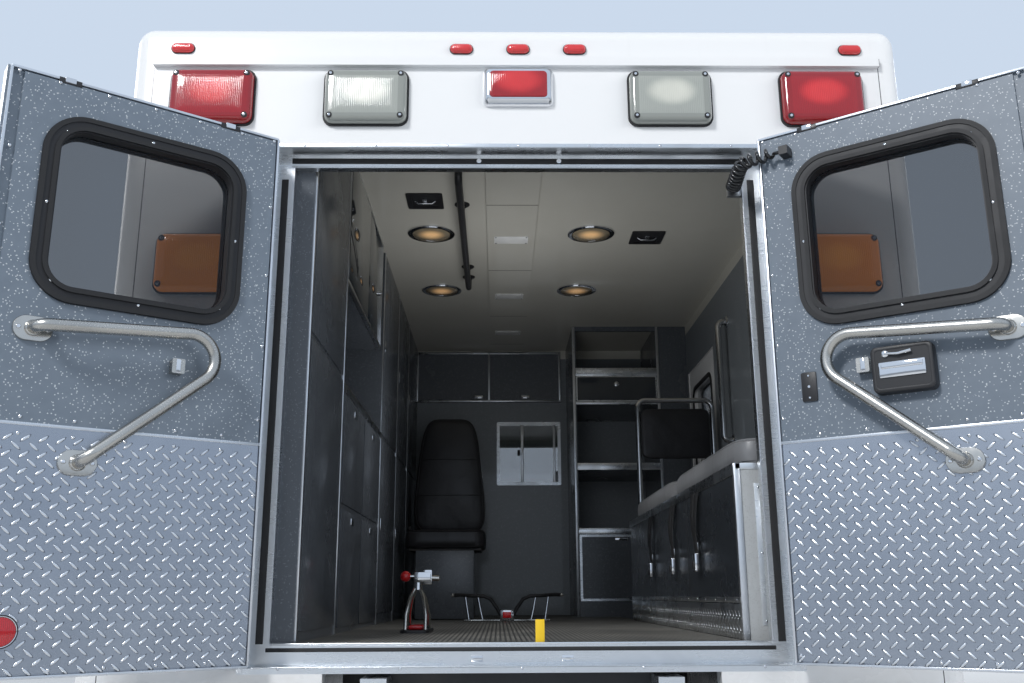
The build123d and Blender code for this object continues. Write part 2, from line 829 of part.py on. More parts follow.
def door_fittings(with_latch):
    """Grab rail, its bracket and the reflector of the right-hand leaf, with or without the latch."""
    with BuildPart() as fittings:
        with BuildLine() as rail_line:
            FilletPolyline(
                leaf_point(*rail_upper_foot, leaf_inner),
                leaf_point(*rail_upper_foot, leaf_inner + rail_stand),
                leaf_point(*rail_corner, leaf_inner + rail_stand),
                leaf_point(*rail_lower_foot, leaf_inner + rail_stand),
                leaf_point(*rail_lower_foot, leaf_inner),
                radius=(rail_foot_radius, rail_bend_radius, rail_foot_radius),
            )
        with BuildSketch(Plane(origin=rail_line.line @ 0, z_dir=rail_line.line % 0)):
            Circle(rail_tube_radius)
        sweep(path=rail_line.line)
        with BuildSketch(leaf_plane.offset(leaf_inner)):
            with Locations(rail_upper_foot, rail_lower_foot):
                SlotCenterToCenter(flange_length, flange_width)
        extrude(amount=flange_thickness)
        with BuildSketch(leaf_plane.offset(leaf_inner)):
            with Locations(bracket_at):
                RectangleRounded(*bracket_size, 4)
        extrude(amount=bracket_depth)
        with BuildSketch(leaf_plane.offset(leaf_inner)):
            with Locations(reflector_at):
                Circle(reflector_radius)
        extrude(amount=reflector_depth)
        if with_latch:
            with BuildSketch(leaf_plane.offset(leaf_inner)):
                with Locations(latch_centre):
                    RectangleRounded(*latch_size, 14)
            extrude(amount=latch_depth)
            with BuildSketch(leaf_plane.offset(leaf_inner)):
                with Locations((socket_along + socket_half, lead_height + lead_rise / 2)):
                    Rectangle(2 * socket_half, 2 * socket_half)
            extrude(amount=lead_gap + lead_radius + socket_half)
    return fittings.part


keep(door_fittings(True), "rear_door_fittings_right")
keep(mirror(door_fittings(False), about=Plane.YZ), "rear_door_fittings_left")

# Cab: one hollow form, cut into shell, hood, doors and glass
windscreen_top_y = foot_y - windscreen_rake
roof_radius = 120
shoulder_radius = 90
nose_radius = 60
cowl_height = belt_height + 12
overrun = 2


def cab_form(inset):
    """Solid inside the cab's outer faces, drawn in by inset. It runs on past the open back and
    underside, by overrun times the inset."""
    back = front_y - overrun * inset
    with BuildPart() as form:
        with BuildSketch(across(back)) as section:
            with BuildLine():
                Polyline(
                    (-cab_foot_half, rocker_height - overrun * inset),
                    (cab_foot_half, rocker_height - overrun * inset),
                    (cab_half, belt_height),
                    (cab_roof_half, cab_top),
                    (-cab_roof_half, cab_top),
                    (-cab_half, belt_height),
                    close=True,
                )
            make_face()
            fillet(section.vertices().group_by(Axis.Z)[-1], roof_radius)
            offset(amount=-inset, mode=Mode.REPLACE)
        extrude(amount=-(foot_y - back))
        with BuildSketch(Plane.YZ.offset(-cab_half)) as profile:
            with BuildLine():
                Polyline(
                    (back - 1, rocker_height - 2 * cab_half),
                    (foot_y + cab_half, rocker_height - 2 * cab_half),
                    (foot_y + cab_half, belt_height - cab_half * (cab_top - belt_height) / windscreen_rake),
                    (foot_y, belt_height),
                    (windscreen_top_y, cab_top),
                    (back - 1, cab_top),
                    close=True,
                )
            make_face()
            fillet(profile.vertices().group_by(Axis.Z)[-1].sort_by(Axis.Y)[-1], roof_radius)
            offset(amount=-inset, mode=Mode.REPLACE)
        extrude(amount=2 * cab_half, mode=Mode.INTERSECT)
        with BuildSketch(across(foot_y)) as cowl:
            with BuildLine():
                Polyline(
                    (-cab_foot_half, rocker_height - overrun * inset),
                    (cab_foot_half, rocker_height - overrun * inset),
                    (cab_half, cowl_height),
                    (-cab_half, cowl_height),
                    close=True,
                )
            make_face()
            fillet(cowl.vertices().group_by(Axis.Z)[-1], shoulder_radius)
            offset(amount=-inset, mode=Mode.REPLACE)
        with BuildSketch(across(nose_y - inset)) as nose:
            with BuildLine():
                Polyline(
                    (-nose_half, rocker_height - overrun * inset),
                    (nose_half, rocker_height - overrun * inset),
                    (nose_half, hood_front_height),
                    (-nose_half, hood_front_height),
                    close=True,
                )
            make_face()
            fillet(nose.vertices().group_by(Axis.Z)[-1], shoulder_radius)
            offset(amount=-inset, mode=Mode.REPLACE)
        loft()
    return form.part


# Outlines on the side of the cab, in steps forward of the module's front face and heights
door_back = front_y + 60
door_front = front_y + 1080
door_foot = 520
door_shoulder = 1550
door_head = 2040
pillar_slope = windscreen_rake / (cab_top - belt_height)
door_draft = 9
door_rim = 62
hood_half = 790
hood_back_y = foot_y + 35
hood_front_y = nose_y - 75
hood_under = 1000
hood_draft = 22
screen_low = belt_height + 40
screen_high = cab_top - 90
screen_low_half = 880
screen_high_half = 790
pane_inset = 18
liner_wall = 6
liner_near = 560
cab_floor = floor_bottom + 35
firewall_y = foot_y - 30
firewall_depth = 20
grille_half = 590
grille_low = 660
grille_high = 990
lamp_near = 625
lamp_far = 850
lamp_low = 800
lamp_high = 975


def door_prism(grow):
    """Drafted block on the right-hand side whose outline is the cab door's, grown by so much."""
    slope_back = door_front - pillar_slope * (door_head - door_shoulder)
    depth = cab_half + 5 - (cab_roof_half - 2 * cab_wall)
    with BuildPart() as prism:
        with BuildSketch(Plane.YZ.offset(cab_half + 5)):
            with BuildLine():
                Polyline(
                    (door_back, door_foot),
                    (door_front, door_foot),
                    (door_front, door_shoulder),
                    (slope_back, door_head),
                    (door_back, door_head),
                    close=True,
                )
            make_face()
            if grow > 0:
                offset(amount=grow, kind=Kind.INTERSECTION, mode=Mode.REPLACE)
        extrude(amount=-depth, taper=door_draft)
    return prism.part


def door_window():
    """Block through the right-hand side with the rounded outline of the cab door's window."""
    low = belt_height + 35
    front = door_front - door_rim
    shoulder = door_shoulder - 12
    with BuildPart() as prism:
        with BuildSketch(Plane.YZ.offset(cab_roof_half - 3 * cab_wall)) as outline:
            with BuildLine():
                Polyline(
                    (door_back + door_rim, low),
                    (front, low),
                    (front, shoulder),
                    (front - pillar_slope * (door_head - door_rim - shoulder), door_head - door_rim),
                    (door_back + door_rim, door_head - door_rim),
                    close=True,
                )
            make_face()
            fillet(outline.vertices(), 40)
        extrude(amount=cab_half - cab_roof_half + 4 * cab_wall)
    return prism.part


def screen_prism():
    """Block that runs through the windscreen with its rounded outline as seen from ahead."""
    with BuildPart() as prism:
        with BuildSketch(across(windscreen_top_y - 200)) as outline:
            with BuildLine():
                Polyline(
                    (-screen_low_half, screen_low),
                    (screen_low_half, screen_low),
                    (screen_high_half, screen_high),
                    (-screen_high_half, screen_high),
                    close=True,
                )
            make_face()
            fillet(outline.vertices(), 70)
        extrude(amount=-(foot_y - windscreen_top_y + 300))
    return prism.part


def hood_prism(grow):
    """Block whose outline from the side is the hood's, with an undercut front edge."""
    drop = tan(radians(hood_draft)) * (cowl_height - hood_under)
    with BuildPart() as prism:
        with BuildSketch(Plane.YZ.offset(-hood_half - grow)):
            with BuildLine():
                Polyline(
                    (hood_back_y - grow, hood_under),
                    (hood_front_y + grow - drop / 2, hood_under),
                    (hood_front_y + grow + drop / 2, cowl_height + 20),
                    (hood_back_y - grow, cowl_height + 20),
                    close=True,
                )
            make_face()
        extrude(amount=2 * (hood_half + grow))
    return prism.part


cab_outside = cab_form(0)
cab_inside = cab_form(cab_wall)
pane_outside = cab_form(pane_inset)
pane_inside = cab_form(pane_inset + pane_thickness)
right_prism = door_prism(0)
right_gap = door_prism(door_gap)
right_window = door_window()
windscreen_prism = screen_prism()
hood_block = hood_prism(0)
hood_gap = hood_prism(door_gap)
with BuildPart() as cab_walls:
    add(cab_outside)
    add(cab_inside, mode=Mode.SUBTRACT)

with BuildPart() as cab_shell:
    add(cab_walls.part)
    add(right_gap, mode=Mode.SUBTRACT)
    add(mirror(right_gap, about=Plane.YZ), mode=Mode.SUBTRACT)
    add(windscreen_prism, mode=Mode.SUBTRACT)
    add(hood_gap, mode=Mode.SUBTRACT)
    block(
        (-grille_half, grille_half),
        (nose_y - 2 * cab_wall, nose_y + 1),
        (grille_low, grille_high),
        Mode.SUBTRACT,
    )
    for side in (-1, 1):
        block(
            sided(side, lamp_near, lamp_far),
            (nose_y - 2 * cab_wall, nose_y + 1),
            (lamp_low, lamp_high),
            Mode.SUBTRACT,
        )
    block((-cab_half, cab_half), (nose_y - 3 * cab_wall, nose_y + 1), (0, bumper_high + 10), Mode.SUBTRACT)
    with BuildSketch(Plane.YZ.offset(-cab_half - 1)):
        with Locations((front_axle_y, wheel_z)):
            Circle(front_arch_radius)
    extrude(amount=2 * cab_half + 2, mode=Mode.SUBTRACT)
    for side in (-1, 1):
        with BuildSketch(Plane.YZ.offset(side * liner_near)):
            with Locations((front_axle_y, wheel_z)):
                Circle(front_arch_radius + liner_wall)
                Circle(front_arch_radius, mode=Mode.SUBTRACT)
            with Locations((front_axle_y, wheel_z - front_arch_radius)):
                Rectangle(3 * front_arch_radius, 2 * front_arch_radius, mode=Mode.SUBTRACT)
        extrude(amount=side * (cab_foot_half - cab_wall + 10 - liner_near))
        with BuildSketch(Plane.YZ.offset(side * (liner_near - liner_wall))):
            with Locations((front_axle_y, wheel_z)):
                Circle(front_arch_radius + liner_wall)
            with Locations((front_axle_y, wheel_z - front_arch_radius + 278)):
                Rectangle(3 * front_arch_radius, 2 * front_arch_radius, mode=Mode.SUBTRACT)
        extrude(amount=side * liner_wall)
    liner_back = front_axle_y - front_arch_radius - liner_wall
    cabin_half = cab_foot_half - cab_wall + 4
    block((-cabin_half, cabin_half), (front_y, liner_back + 2), (floor_bottom, cab_floor))
    block((-liner_near, liner_near), (liner_back, firewall_y), (floor_bottom, cab_floor))
    block(
        (-cabin_half, cabin_half),
        (firewall_y - firewall_depth, firewall_y),
        (wheel_z + front_arch_radius - 12, belt_height - cab_wall + 4),
    )
    block(
        (-liner_near, liner_near),
        (firewall_y - firewall_depth, firewall_y),
        (floor_bottom, belt_height - cab_wall + 4),
    )
keep(cab_shell.part, "cab_shell")

with BuildPart() as windscreen:
    add(pane_outside)
    add(pane_inside, mode=Mode.SUBTRACT)
    add(windscreen_prism, mode=Mode.INTERSECT)
keep(windscreen.part, "windscreen")

with BuildPart() as hood:
    add(cab_walls.part)
    add(hood_block, mode=Mode.INTERSECT)
keep(hood.part, "hood")

mirror_y = door_front - 70
mirror_near = 1120
mirror_far = 1300
mirror_low = 1330
mirror_high = 1640
mirror_depth = 80
with BuildPart() as cab_door_right:
    add(cab_walls.part)
    add(right_prism, mode=Mode.INTERSECT)
    add(right_window, mode=Mode.SUBTRACT)
    for low in (mirror_low + 40, mirror_high - 90):
        block((cab_roof_half + 50, mirror_near + 20), (mirror_y + 20, mirror_y + 46), (low, low + 26))
    with BuildSketch(Plane.XY.offset(mirror_low)):
        with Locations(((mirror_near + mirror_far) / 2, mirror_y + mirror_depth / 2)):
            RectangleRounded(mirror_far - mirror_near, mirror_depth, 28)
    extrude(amount=mirror_high - mirror_low)
with BuildPart() as cab_door_left:
    mirror(cab_door_right.part, about=Plane.YZ)
keep(cab_door_right.part, "cab_door_right")
keep(cab_door_left.part, "cab_door_left")

with BuildPart() as cab_door_glass_right:
    add(pane_outside)
    add(pane_inside, mode=Mode.SUBTRACT)
    add(right_window, mode=Mode.INTERSECT)
with BuildPart() as cab_door_glass_left:
    mirror(cab_door_glass_right.part, about=Plane.YZ)
keep(cab_door_glass_right.part, "cab_door_glass_right")
keep(cab_door_glass_left.part, "cab_door_glass_left")

slat_count = 7
slat_height = 20
grille_rim = 26
grille_clear = grille_high - grille_low - 2 * grille_rim
with BuildPart() as front_grille:
    with BuildSketch(across(nose_y)):
        with Locations((0, (grille_low + grille_high) / 2)):
            Rectangle(2 * grille_half, grille_high - grille_low)
            Rectangle(2 * (grille_half - grille_rim), grille_clear, mode=Mode.SUBTRACT)
    extrude(amount=cab_wall)
    for number in range(slat_count):
        middle = grille_low + grille_rim + grille_clear * (number + 0.5) / slat_count
        block(
            (-grille_half + grille_rim, grille_half - grille_rim),
            (nose_y - cab_wall + 8, nose_y - 6),
            (middle - slat_height / 2, middle + slat_height / 2),
        )
keep(front_grille.part, "front_grille")

# Cab inside: dashboard with the steering column, steering wheel and seats
dash_depth = 300
dash_low = 1000
dash_half = cabin_half - 12
wheel_centre = Vector(-430, front_y + 800, 1240)
wheel_tilt = 28
wheel_ring_radius = 190
wheel_ring_tube = 14
wheel_hub_radius = 50
column_radius = 24
column_gap = 6
driver_dir = Vector(0, -cos(radians(wheel_tilt)), sin(radians(wheel_tilt)))
dash_back = firewall_y - firewall_depth - dash_depth
with BuildPart() as dashboard:
    with BuildSketch(Plane.YZ.offset(-dash_half)) as dash_profile:
        with BuildLine():
            Polyline(
                (firewall_y - firewall_depth, dash_low),
                (dash_back + 90, dash_low),
                (dash_back, belt_height - 160),
                (dash_back + 30, belt_height - 50),
                (firewall_y - firewall_depth, belt_height - 20),
                close=True,
            )
        make_face()
        fillet(dash_profile.vertices().group_by(Axis.Y)[0], 20)
    extrude(amount=2 * dash_half)
    with BuildSketch(Plane(origin=wheel_centre - driver_dir * column_gap, x_dir=(1, 0, 0), z_dir=-driver_dir)):
        Circle(column_radius)
    extrude(until=Until.NEXT)
keep(dashboard.part, "dashboard")

with BuildPart() as steering_wheel:
    ring_plane = Plane(origin=wheel_centre, x_dir=(1, 0, 0), z_dir=driver_dir)
    with BuildSketch(Plane(origin=wheel_centre, x_dir=(1, 0, 0), z_dir=ring_plane.y_dir)):
        with Locations((wheel_ring_radius, 0)):
            Circle(wheel_ring_tube)
    revolve(axis=Axis(wheel_centre, driver_dir))
    with BuildSketch(ring_plane):
        Circle(wheel_hub_radius)
    extrude(amount=30)
    with BuildSketch(ring_plane):
        for turn in (0, 180, 270):
            with Locations(Rotation(0, 0, turn) * Location((wheel_ring_radius / 2, 0, 0))):
                Rectangle(wheel_ring_radius, 28)
    extrude(amount=12)
keep(steering_wheel.part, "steering_wheel")

seat_x = 460
seat_half = 250
seat_back_y = front_y + 110
seat_depth = 500
cushion_low = cab_floor + 260
cushion_height = 120
squab_height = 640
squab_depth = 120
with BuildPart() as cab_seats:
    for side in (-1, 1):
        block(
            sided(side, seat_x - seat_half + 50, seat_x + seat_half - 50),
            (seat_back_y + 40, seat_back_y + seat_depth - 60),
            (cab_floor, cushion_low),
        )
        with BuildSketch(Plane.YZ.offset(side * seat_x - seat_half)) as seat_side:
            with BuildLine():
                Polyline(
                    (seat_back_y, cushion_low),
                    (seat_back_y + seat_depth, cushion_low),
                    (seat_back_y + seat_depth, cushion_low + cushion_height),
                    (seat_back_y + squab_depth + 20, cushion_low + cushion_height),
                    (seat_back_y + squab_depth - 30, cushion_low + cushion_height + squab_height),
                    (seat_back_y - 30, cushion_low + cushion_height + squab_height),
                    close=True,
                )
            make_face()
            fillet(seat_side.vertices().sort_by(Axis.Y)[-2:], 40)
        extrude(amount=2 * seat_half)
keep(cab_seats.part, "cab_seats")

# Steps below the cab doors, trim round the rear wheel arches and the flaps behind the rear tyres
board_width = 190
board_thickness = 34
board_drop = 70
trim_reach = 34
trim_depth = 30
flap_thickness = 8
flap_low = 190
with BuildPart() as steps_and_trim:
    for side in (-1, 1):
        block(
            sided(side, cab_foot_half - cab_wall, cab_foot_half - cab_wall + board_width),
            (front_y + 20, liner_back - 40),
            (rocker_height - board_drop - board_thickness, rocker_height - board_drop),
        )
        block(
            sided(side, cab_foot_half - cab_wall, cab_foot_half - cab_wall + 8),
            (front_y + 20, liner_back - 40),
            (rocker_height - board_drop, rocker_height),
        )
        with BuildSketch(Plane.YZ.offset(side * side_x)):
            with Locations((rear_axle_y, wheel_z)):
                Circle(rear_arch_radius + trim_depth)
                Circle(rear_arch_radius, mode=Mode.SUBTRACT)
            with Locations((rear_axle_y, skirt_bottom - rear_arch_radius)):
                Rectangle(4 * rear_arch_radius, 2 * rear_arch_radius, mode=Mode.SUBTRACT)
        extrude(amount=side * trim_reach)
        block(
            sided(side, inner_dual_x - tyre_width / 2, inner_x),
            (rear_axle_y - wheel_box_half - flap_thickness, rear_axle_y - wheel_box_half),
            (flap_low, skirt_bottom + 190),
        )
keep(steps_and_trim.part, "steps_and_trim")


def board(side, row):
    """One board of a cabinet. A row holds: near, far, back, front, low, high. The first two are
    distances from the middle line, the next two run forward from the rear face of the module and
    the last two up from the floor."""
    near, far, back, front, low, high = row
    block(sided(side, near, far), (rear_y + back, rear_y + front), (floor_top + low, floor_top + high))


# Left-hand cabinets with the two outside compartments in their lower parts
room_back = frame_back - rear_y
room_front = module_length - wall
room_high = ceiling - floor_top
face_near = 640
face_far = floor_half
box_low = -330
board_thick = 20
tall_front = 790
niche_front = module_length - 2150
counter_high = 900
wall_unit_front = niche_front - 120
wall_unit_low = 1290
front_box_back = module_length - 820
wheel_box_front = rear_axle_y + wheel_box_half - rear_y + 3
wheel_box_high = wheel_box_top - floor_top
box_shelf = 700
front_box_shelf = 1340
left_rows = (
    (face_near, face_far, room_back, tall_front, 0, room_high),
    (face_near, face_far, tall_front, niche_front, 0, counter_high),
    (face_near, face_far, niche_front, room_front, 0, room_high),
    (face_near, inner_x, tall_front, niche_front, counter_high - board_thick, counter_high),
    (face_far, inner_x, room_back, room_back + board_thick, box_low, room_high),
    (face_far, inner_x, tall_front - board_thick, tall_front, box_shelf, room_high),
    (face_far, inner_x, hatch_box_front, hatch_box_front + board_thick, box_low, box_shelf + board_thick),
    (face_far, inner_x, room_back, hatch_box_front, box_low, box_low + board_thick),
    (face_far, inner_x, room_back, hatch_box_front, box_shelf, box_shelf + board_thick),
    (face_far, face_far + board_thick, room_back, hatch_box_front, box_low, board_thick),
    (face_near, face_far, tall_front, wall_unit_front, wall_unit_low, room_high),
    (face_near, inner_x, tall_front, wall_unit_front, wall_unit_low, wall_unit_low + board_thick),
    (face_far, inner_x, wall_unit_front - board_thick, wall_unit_front, wall_unit_low, room_high),
    (face_far, inner_x, niche_front, niche_front + board_thick, wheel_box_high, room_high),
    (face_far, inner_x, front_box_back, front_box_back + board_thick, box_low, room_high),
    (face_far, inner_x, front_box_back, room_front, box_low, box_low + board_thick),
    (face_far, face_far + board_thick, front_box_back, room_front, box_low, board_thick),
    (face_far, inner_x, front_box_back, room_front, front_box_shelf, front_box_shelf + board_thick),
    (face_far, inner_x, wheel_box_front, front_box_back, -board_thick, board_thick),
)
with BuildPart() as left_cabinets:
    for row in left_rows:
        board(-1, row)
keep(left_cabinets.part, "left_cabinets")

# Shelf column beside the side door, and the overhead cupboard on the front wall
column_near = 420
column_back = module_length - 720
column_mid = 960
plinth = 88
front_rows = (
    (column_near, column_near + board_thick, column_back, room_front, 0, room_high),
    (column_mid, column_mid + board_thick, column_back, room_front, 0, room_high),
    (column_mid, inner_x, column_back, column_back + board_thick, 0, room_high),
    (column_near, column_mid, column_back, column_back + board_thick, 0, 496),
    (column_near, column_mid, column_back, room_front, 496, 532),
    (column_near, column_mid, column_back, room_front, 893, 937),
    (column_near, column_mid, column_back, room_front, 1316, 1329),
    (column_near, column_mid, column_back, column_back + board_thick, 1329, 1500),
    (column_near, column_mid, column_back, room_front, 1500, 1553),
    (column_near, column_mid, column_back, column_back + board_thick, 1800, room_high),
    (floor_half + step_floor, inner_x, column_back, room_front, -board_thick, 0),
)
overhead_left = -640
overhead_right = 380
overhead_low = 1452
overhead_depth = 30
with BuildPart() as front_cabinets:
    for row in front_rows:
        board(1, row)
    block(
        (overhead_left, overhead_right),
        (front_y - wall - overhead_depth, front_y - wall),
        (floor_top + overhead_low, ceiling - raceway_drop),
    )
keep(front_cabinets.part, "front_cabinets")

# Squad bench with an outside compartment in its rear part
bench_near = 645
bench_back = 150
bench_front = module_length - 1570
bench_high = 510
cushion_inset = 6
cushion_thick = 90
bench_rows = (
    (bench_near, face_far, bench_back, bench_front, 0, bench_high),
    (bench_near, inner_x, bench_back, bench_front, bench_high - board_thick, bench_high),
    (face_far, inner_x, bench_back, bench_back + board_thick, box_low, bench_high),
    (face_far, inner_x, bench_front - board_thick, bench_front, 0, bench_high),
    (face_far, inner_x, hatch_box_front, hatch_box_front + board_thick, box_low, bench_high),
    (face_far, inner_x, bench_back, hatch_box_front, box_low, box_low + board_thick),
    (face_far, face_far + board_thick, bench_back, hatch_box_front, box_low, board_thick),
    (face_far, inner_x, wheel_box_front, bench_front, -board_thick, board_thick),
)
with BuildPart() as squad_bench:
    for row in bench_rows:
        board(1, row)
keep(squad_bench.part, "squad_bench")

guard_y = rear_y + bench_front - 40
guard_left = 700
guard_right = 1110
guard_high = floor_top + 1163
guard_tube = 14
pad_low = floor_top + 840
pad_high = floor_top + 1118
pad_depth = 50
with BuildPart() as bench_cushion:
    block(
        (bench_near + cushion_inset, inner_x - cushion_inset),
        (rear_y + bench_back + cushion_inset, guard_y - 60),
        (floor_top + bench_high, floor_top + bench_high + cushion_thick),
    )
    fillet(bench_cushion.edges(), 18)
    block(
        (guard_left + guard_tube, guard_right - guard_tube),
        (guard_y - pad_depth / 2, guard_y + pad_depth / 2),
        (pad_low, pad_high),
    )
keep(bench_cushion.part, "bench_cushion")

# Rails in the patient room: guard at the head of the bench, ceiling rail and wall pole
rail_radius = 16
ceiling_rail_x = -225
ceiling_rail_back = rear_y + 900
ceiling_rail_front = front_y - 1760
ceiling_rail_z = floor_top + 1760
ceiling_rail_feet = (rear_y + 1325, front_y - 1935)
pole_x = 1110
pole_y = rear_y + bench_front - 300
pole_low = floor_top + 900
pole_high = floor_top + 1540
with BuildPart() as grab_rails:
    with BuildLine() as guard_line:
        FilletPolyline(
            (guard_left, guard_y, floor_top + bench_high),
            (guard_left, guard_y, guard_high),
            (guard_right, guard_y, guard_high),
            (guard_right, guard_y, floor_top + bench_high),
            radius=3 * guard_tube,
        )
    with BuildSketch(Plane(origin=guard_line.line @ 0, z_dir=guard_line.line % 0)):
        Circle(guard_tube)
    sweep(path=guard_line.line)
    with BuildLine() as ceiling_line:
        FilletPolyline(
            (ceiling_rail_x, ceiling_rail_back, ceiling),
            (ceiling_rail_x, ceiling_rail_back, ceiling_rail_z),
            (ceiling_rail_x, ceiling_rail_front, ceiling_rail_z),
            (ceiling_rail_x, ceiling_rail_front, ceiling),
            radius=2 * rail_radius,
        )
    with BuildSketch(Plane(origin=ceiling_line.line @ 0, z_dir=ceiling_line.line % 0)):
        Circle(rail_radius)
    sweep(path=ceiling_line.line)
    with BuildSketch(Plane.XY.offset(ceiling_rail_z)):
        with Locations(*[(ceiling_rail_x, y) for y in ceiling_rail_feet]):
            Circle(rail_radius - 3)
    extrude(amount=ceiling - ceiling_rail_z)
    with BuildLine() as pole_line:
        FilletPolyline(
            (inner_x, pole_y, pole_low),
            (pole_x, pole_y, pole_low),
            (pole_x, pole_y, pole_high),
            (inner_x, pole_y, pole_high),
            radius=2 * rail_radius,
        )
    with BuildSketch(Plane(origin=pole_line.line @ 0, z_dir=pole_line.line % 0)):
        Circle(rail_radius)
    sweep(path=pole_line.line)
keep(grab_rails.part, "grab_rails")

# Attendant's seat, facing backwards on its pedestal
rest_x = -365
rest_half = 235
rest_back = front_y - 740
rest_depth = 560
rest_low = floor_top + 380
rest_cushion = 120
rest_squab = 110
rest_high = floor_top + 1215
with BuildPart() as attendant_seat:
    block(
        (rest_x - 170, rest_x + 170),
        (rest_back - rest_depth + 90, rest_back - 60),
        (floor_top, rest_low),
    )
    with BuildSketch(Plane.YZ.offset(rest_x - rest_half)) as rest_profile:
        with BuildLine():
            Polyline(
                (rest_back, rest_low),
                (rest_back - rest_depth, rest_low),
                (rest_back - rest_depth, rest_low + rest_cushion),
                (rest_back - rest_squab - 30, rest_low + rest_cushion),
                (rest_back - rest_squab, rest_high),
                (rest_back, rest_high),
                close=True,
            )
        make_face()
        fillet(rest_profile.vertices().group_by(Axis.Z)[-1], 35)
    extrude(amount=2 * rest_half)
keep(attendant_seat.part, "attendant_seat")

# Cot mount on the floor: the antler bar at the head and the side clamp
antler_x = -20
antler_y = front_y - 1620
antler_half = 280
antler_high = 120
antler_tube = 14
clamp_x = -360
clamp_y = rear_y + 960
clamp_high = 250
with BuildPart() as cot_mount:
    block((antler_x - 160, antler_x + 160), (antler_y - 60, antler_y + 60), (floor_top, floor_top + 8))
    with BuildLine() as antler_line:
        FilletPolyline(
            (antler_x - antler_half, antler_y - 170, floor_top + antler_high),
            (antler_x - antler_half + 60, antler_y, floor_top + antler_high),
            (antler_x, antler_y + 20, floor_top + 8 + antler_tube - 2),
            (antler_x + antler_half - 60, antler_y, floor_top + antler_high),
            (antler_x + antler_half, antler_y - 170, floor_top + antler_high),
            radius=60,
        )
    with BuildSketch(Plane(origin=antler_line.line @ 0, z_dir=antler_line.line % 0)):
        Circle(antler_tube)
    sweep(path=antler_line.line)
    block((clamp_x - 55, clamp_x + 55), (clamp_y - 170, clamp_y + 170), (floor_top, floor_top + 10))
    with BuildLine() as clamp_line:
        FilletPolyline(
            (clamp_x, clamp_y - 120, floor_top + 14),
            (clamp_x, clamp_y, floor_top + clamp_high),
            (clamp_x, clamp_y + 120, floor_top + 14),
            radius=40,
        )
    with BuildSketch(Plane(origin=clamp_line.line @ 0, z_dir=clamp_line.line % 0)):
        Circle(antler_tube)
    sweep(path=clamp_line.line)
keep(cot_mount.part, "cot_mount")

# Outside hatches and the side door. Each is drawn flush with its wall and hinged at its front edge.
hatch_thickness = 42
handle_size = (150, 110)
handle_proud = 9
handle_inset = 70
side_hinge_out = 6
side_hinge_leaf = 4
side_hinge_width = 26


def wall_face(side):
    """Plane on the outer face of one side wall: local x runs forward on the right-hand side."""
    return Plane(origin=(side * side_x, 0, 0), x_dir=(0, side, 0), z_dir=(side, 0, 0))


def hatch(side, opening, thickness):
    """A flush panel in its opening, with a proud handle near the back edge and a hinge barrel."""
    back, front, low, high = opening
    with BuildPart() as panel:
        block(
            sided(side, side_x - thickness, side_x),
            (back + door_gap, front - door_gap),
            (low + door_gap, high - door_gap),
        )
        with BuildSketch(wall_face(side)):
            with Locations((side * (back + door_gap + handle_inset + handle_size[0] / 2), (low + high) / 2)):
                RectangleRounded(*handle_size, 18)
        extrude(amount=handle_proud)
        block(
            sided(side, side_x - 1, side_x + side_hinge_leaf),
            (front - door_gap - side_hinge_width, front - door_gap),
            (low + door_gap, high - door_gap),
        )
        with BuildSketch(Plane.XY.offset(low + door_gap)):
            with Locations((side * (side_x + side_hinge_out), front - door_gap)):
                Circle(side_hinge_out)
        extrude(amount=high - low - 2 * door_gap)
    return panel.part


side_window_low = 1650
side_window_high = 2170
side_window_rim = 110
side_window_corner = 60
side_window_margin = 90
side_pane = 6
for side, word, opening in (
    (-1, "left_rear_hatch", left_rear_hatch),
    (-1, "left_front_hatch", left_front_hatch),
    (1, "right_rear_hatch", right_rear_hatch),
):
    keep(hatch(side, opening, hatch_thickness), word)

side_door_thickness = 55
side_window_middle = (side_door_back + side_door_width / 2, (side_window_low + side_window_high) / 2)
side_window_size = (side_door_width - 2 * side_window_rim, side_window_high - side_window_low)
side_panel = hatch(1, side_door_gap, side_door_thickness)
with BuildPart() as side_door:
    add(side_panel)
    with BuildSketch(wall_face(1).offset(1)):
        with Locations(side_window_middle):
            RectangleRounded(*side_window_size, side_window_corner)
    extrude(amount=-side_door_thickness - 2, mode=Mode.SUBTRACT)
keep(side_door.part, "side_door")
with BuildPart() as side_door_glass:
    with BuildSketch(wall_face(1).offset(-(side_door_thickness - side_pane) / 2)):
        with Locations(side_window_middle):
            RectangleRounded(*side_window_size, side_window_corner)
    extrude(amount=-side_pane)
keep(side_door_glass.part, "side_door_glass")

# Lamps. Rows give the wall, the place across or along it and the height above the floor.
lamp_size = (266, 190)
lamp_corner = 30
lamp_base = 9
lamp_proud = 34
lens_margin = 6
lens_round = 10
brake_size = (220, 130)
brake_margin = 19
marker_size = (75, 36)
marker_proud = 16
tail_radius = 52
tail_xs = {"red": 1040, "amber": 900, "clear": 760}
warning_height = floor_top + 1636
amber_height = floor_top + 1090
brake_height = floor_top + 1673
marker_height = floor_top + 1810
tail_height = 632
warning_x = 955
scene_x = 476
amber_clear = 50
amber_x = frame_half + amber_clear + lamp_size[0] / 2
lamp_inset = 260


def wall_planes():
    """Planes on the four outer walls by name. Local x runs to the right as one faces each wall."""
    return {
        "back": across(rear_y),
        "front": Plane(origin=(0, front_y, 0), x_dir=(-1, 0, 0), z_dir=(0, 1, 0)),
        "left": Plane(origin=(-side_x, 0, 0), x_dir=(0, -1, 0), z_dir=(-1, 0, 0)),
        "right": Plane(origin=(side_x, 0, 0), x_dir=(0, 1, 0), z_dir=(1, 0, 0)),
    }


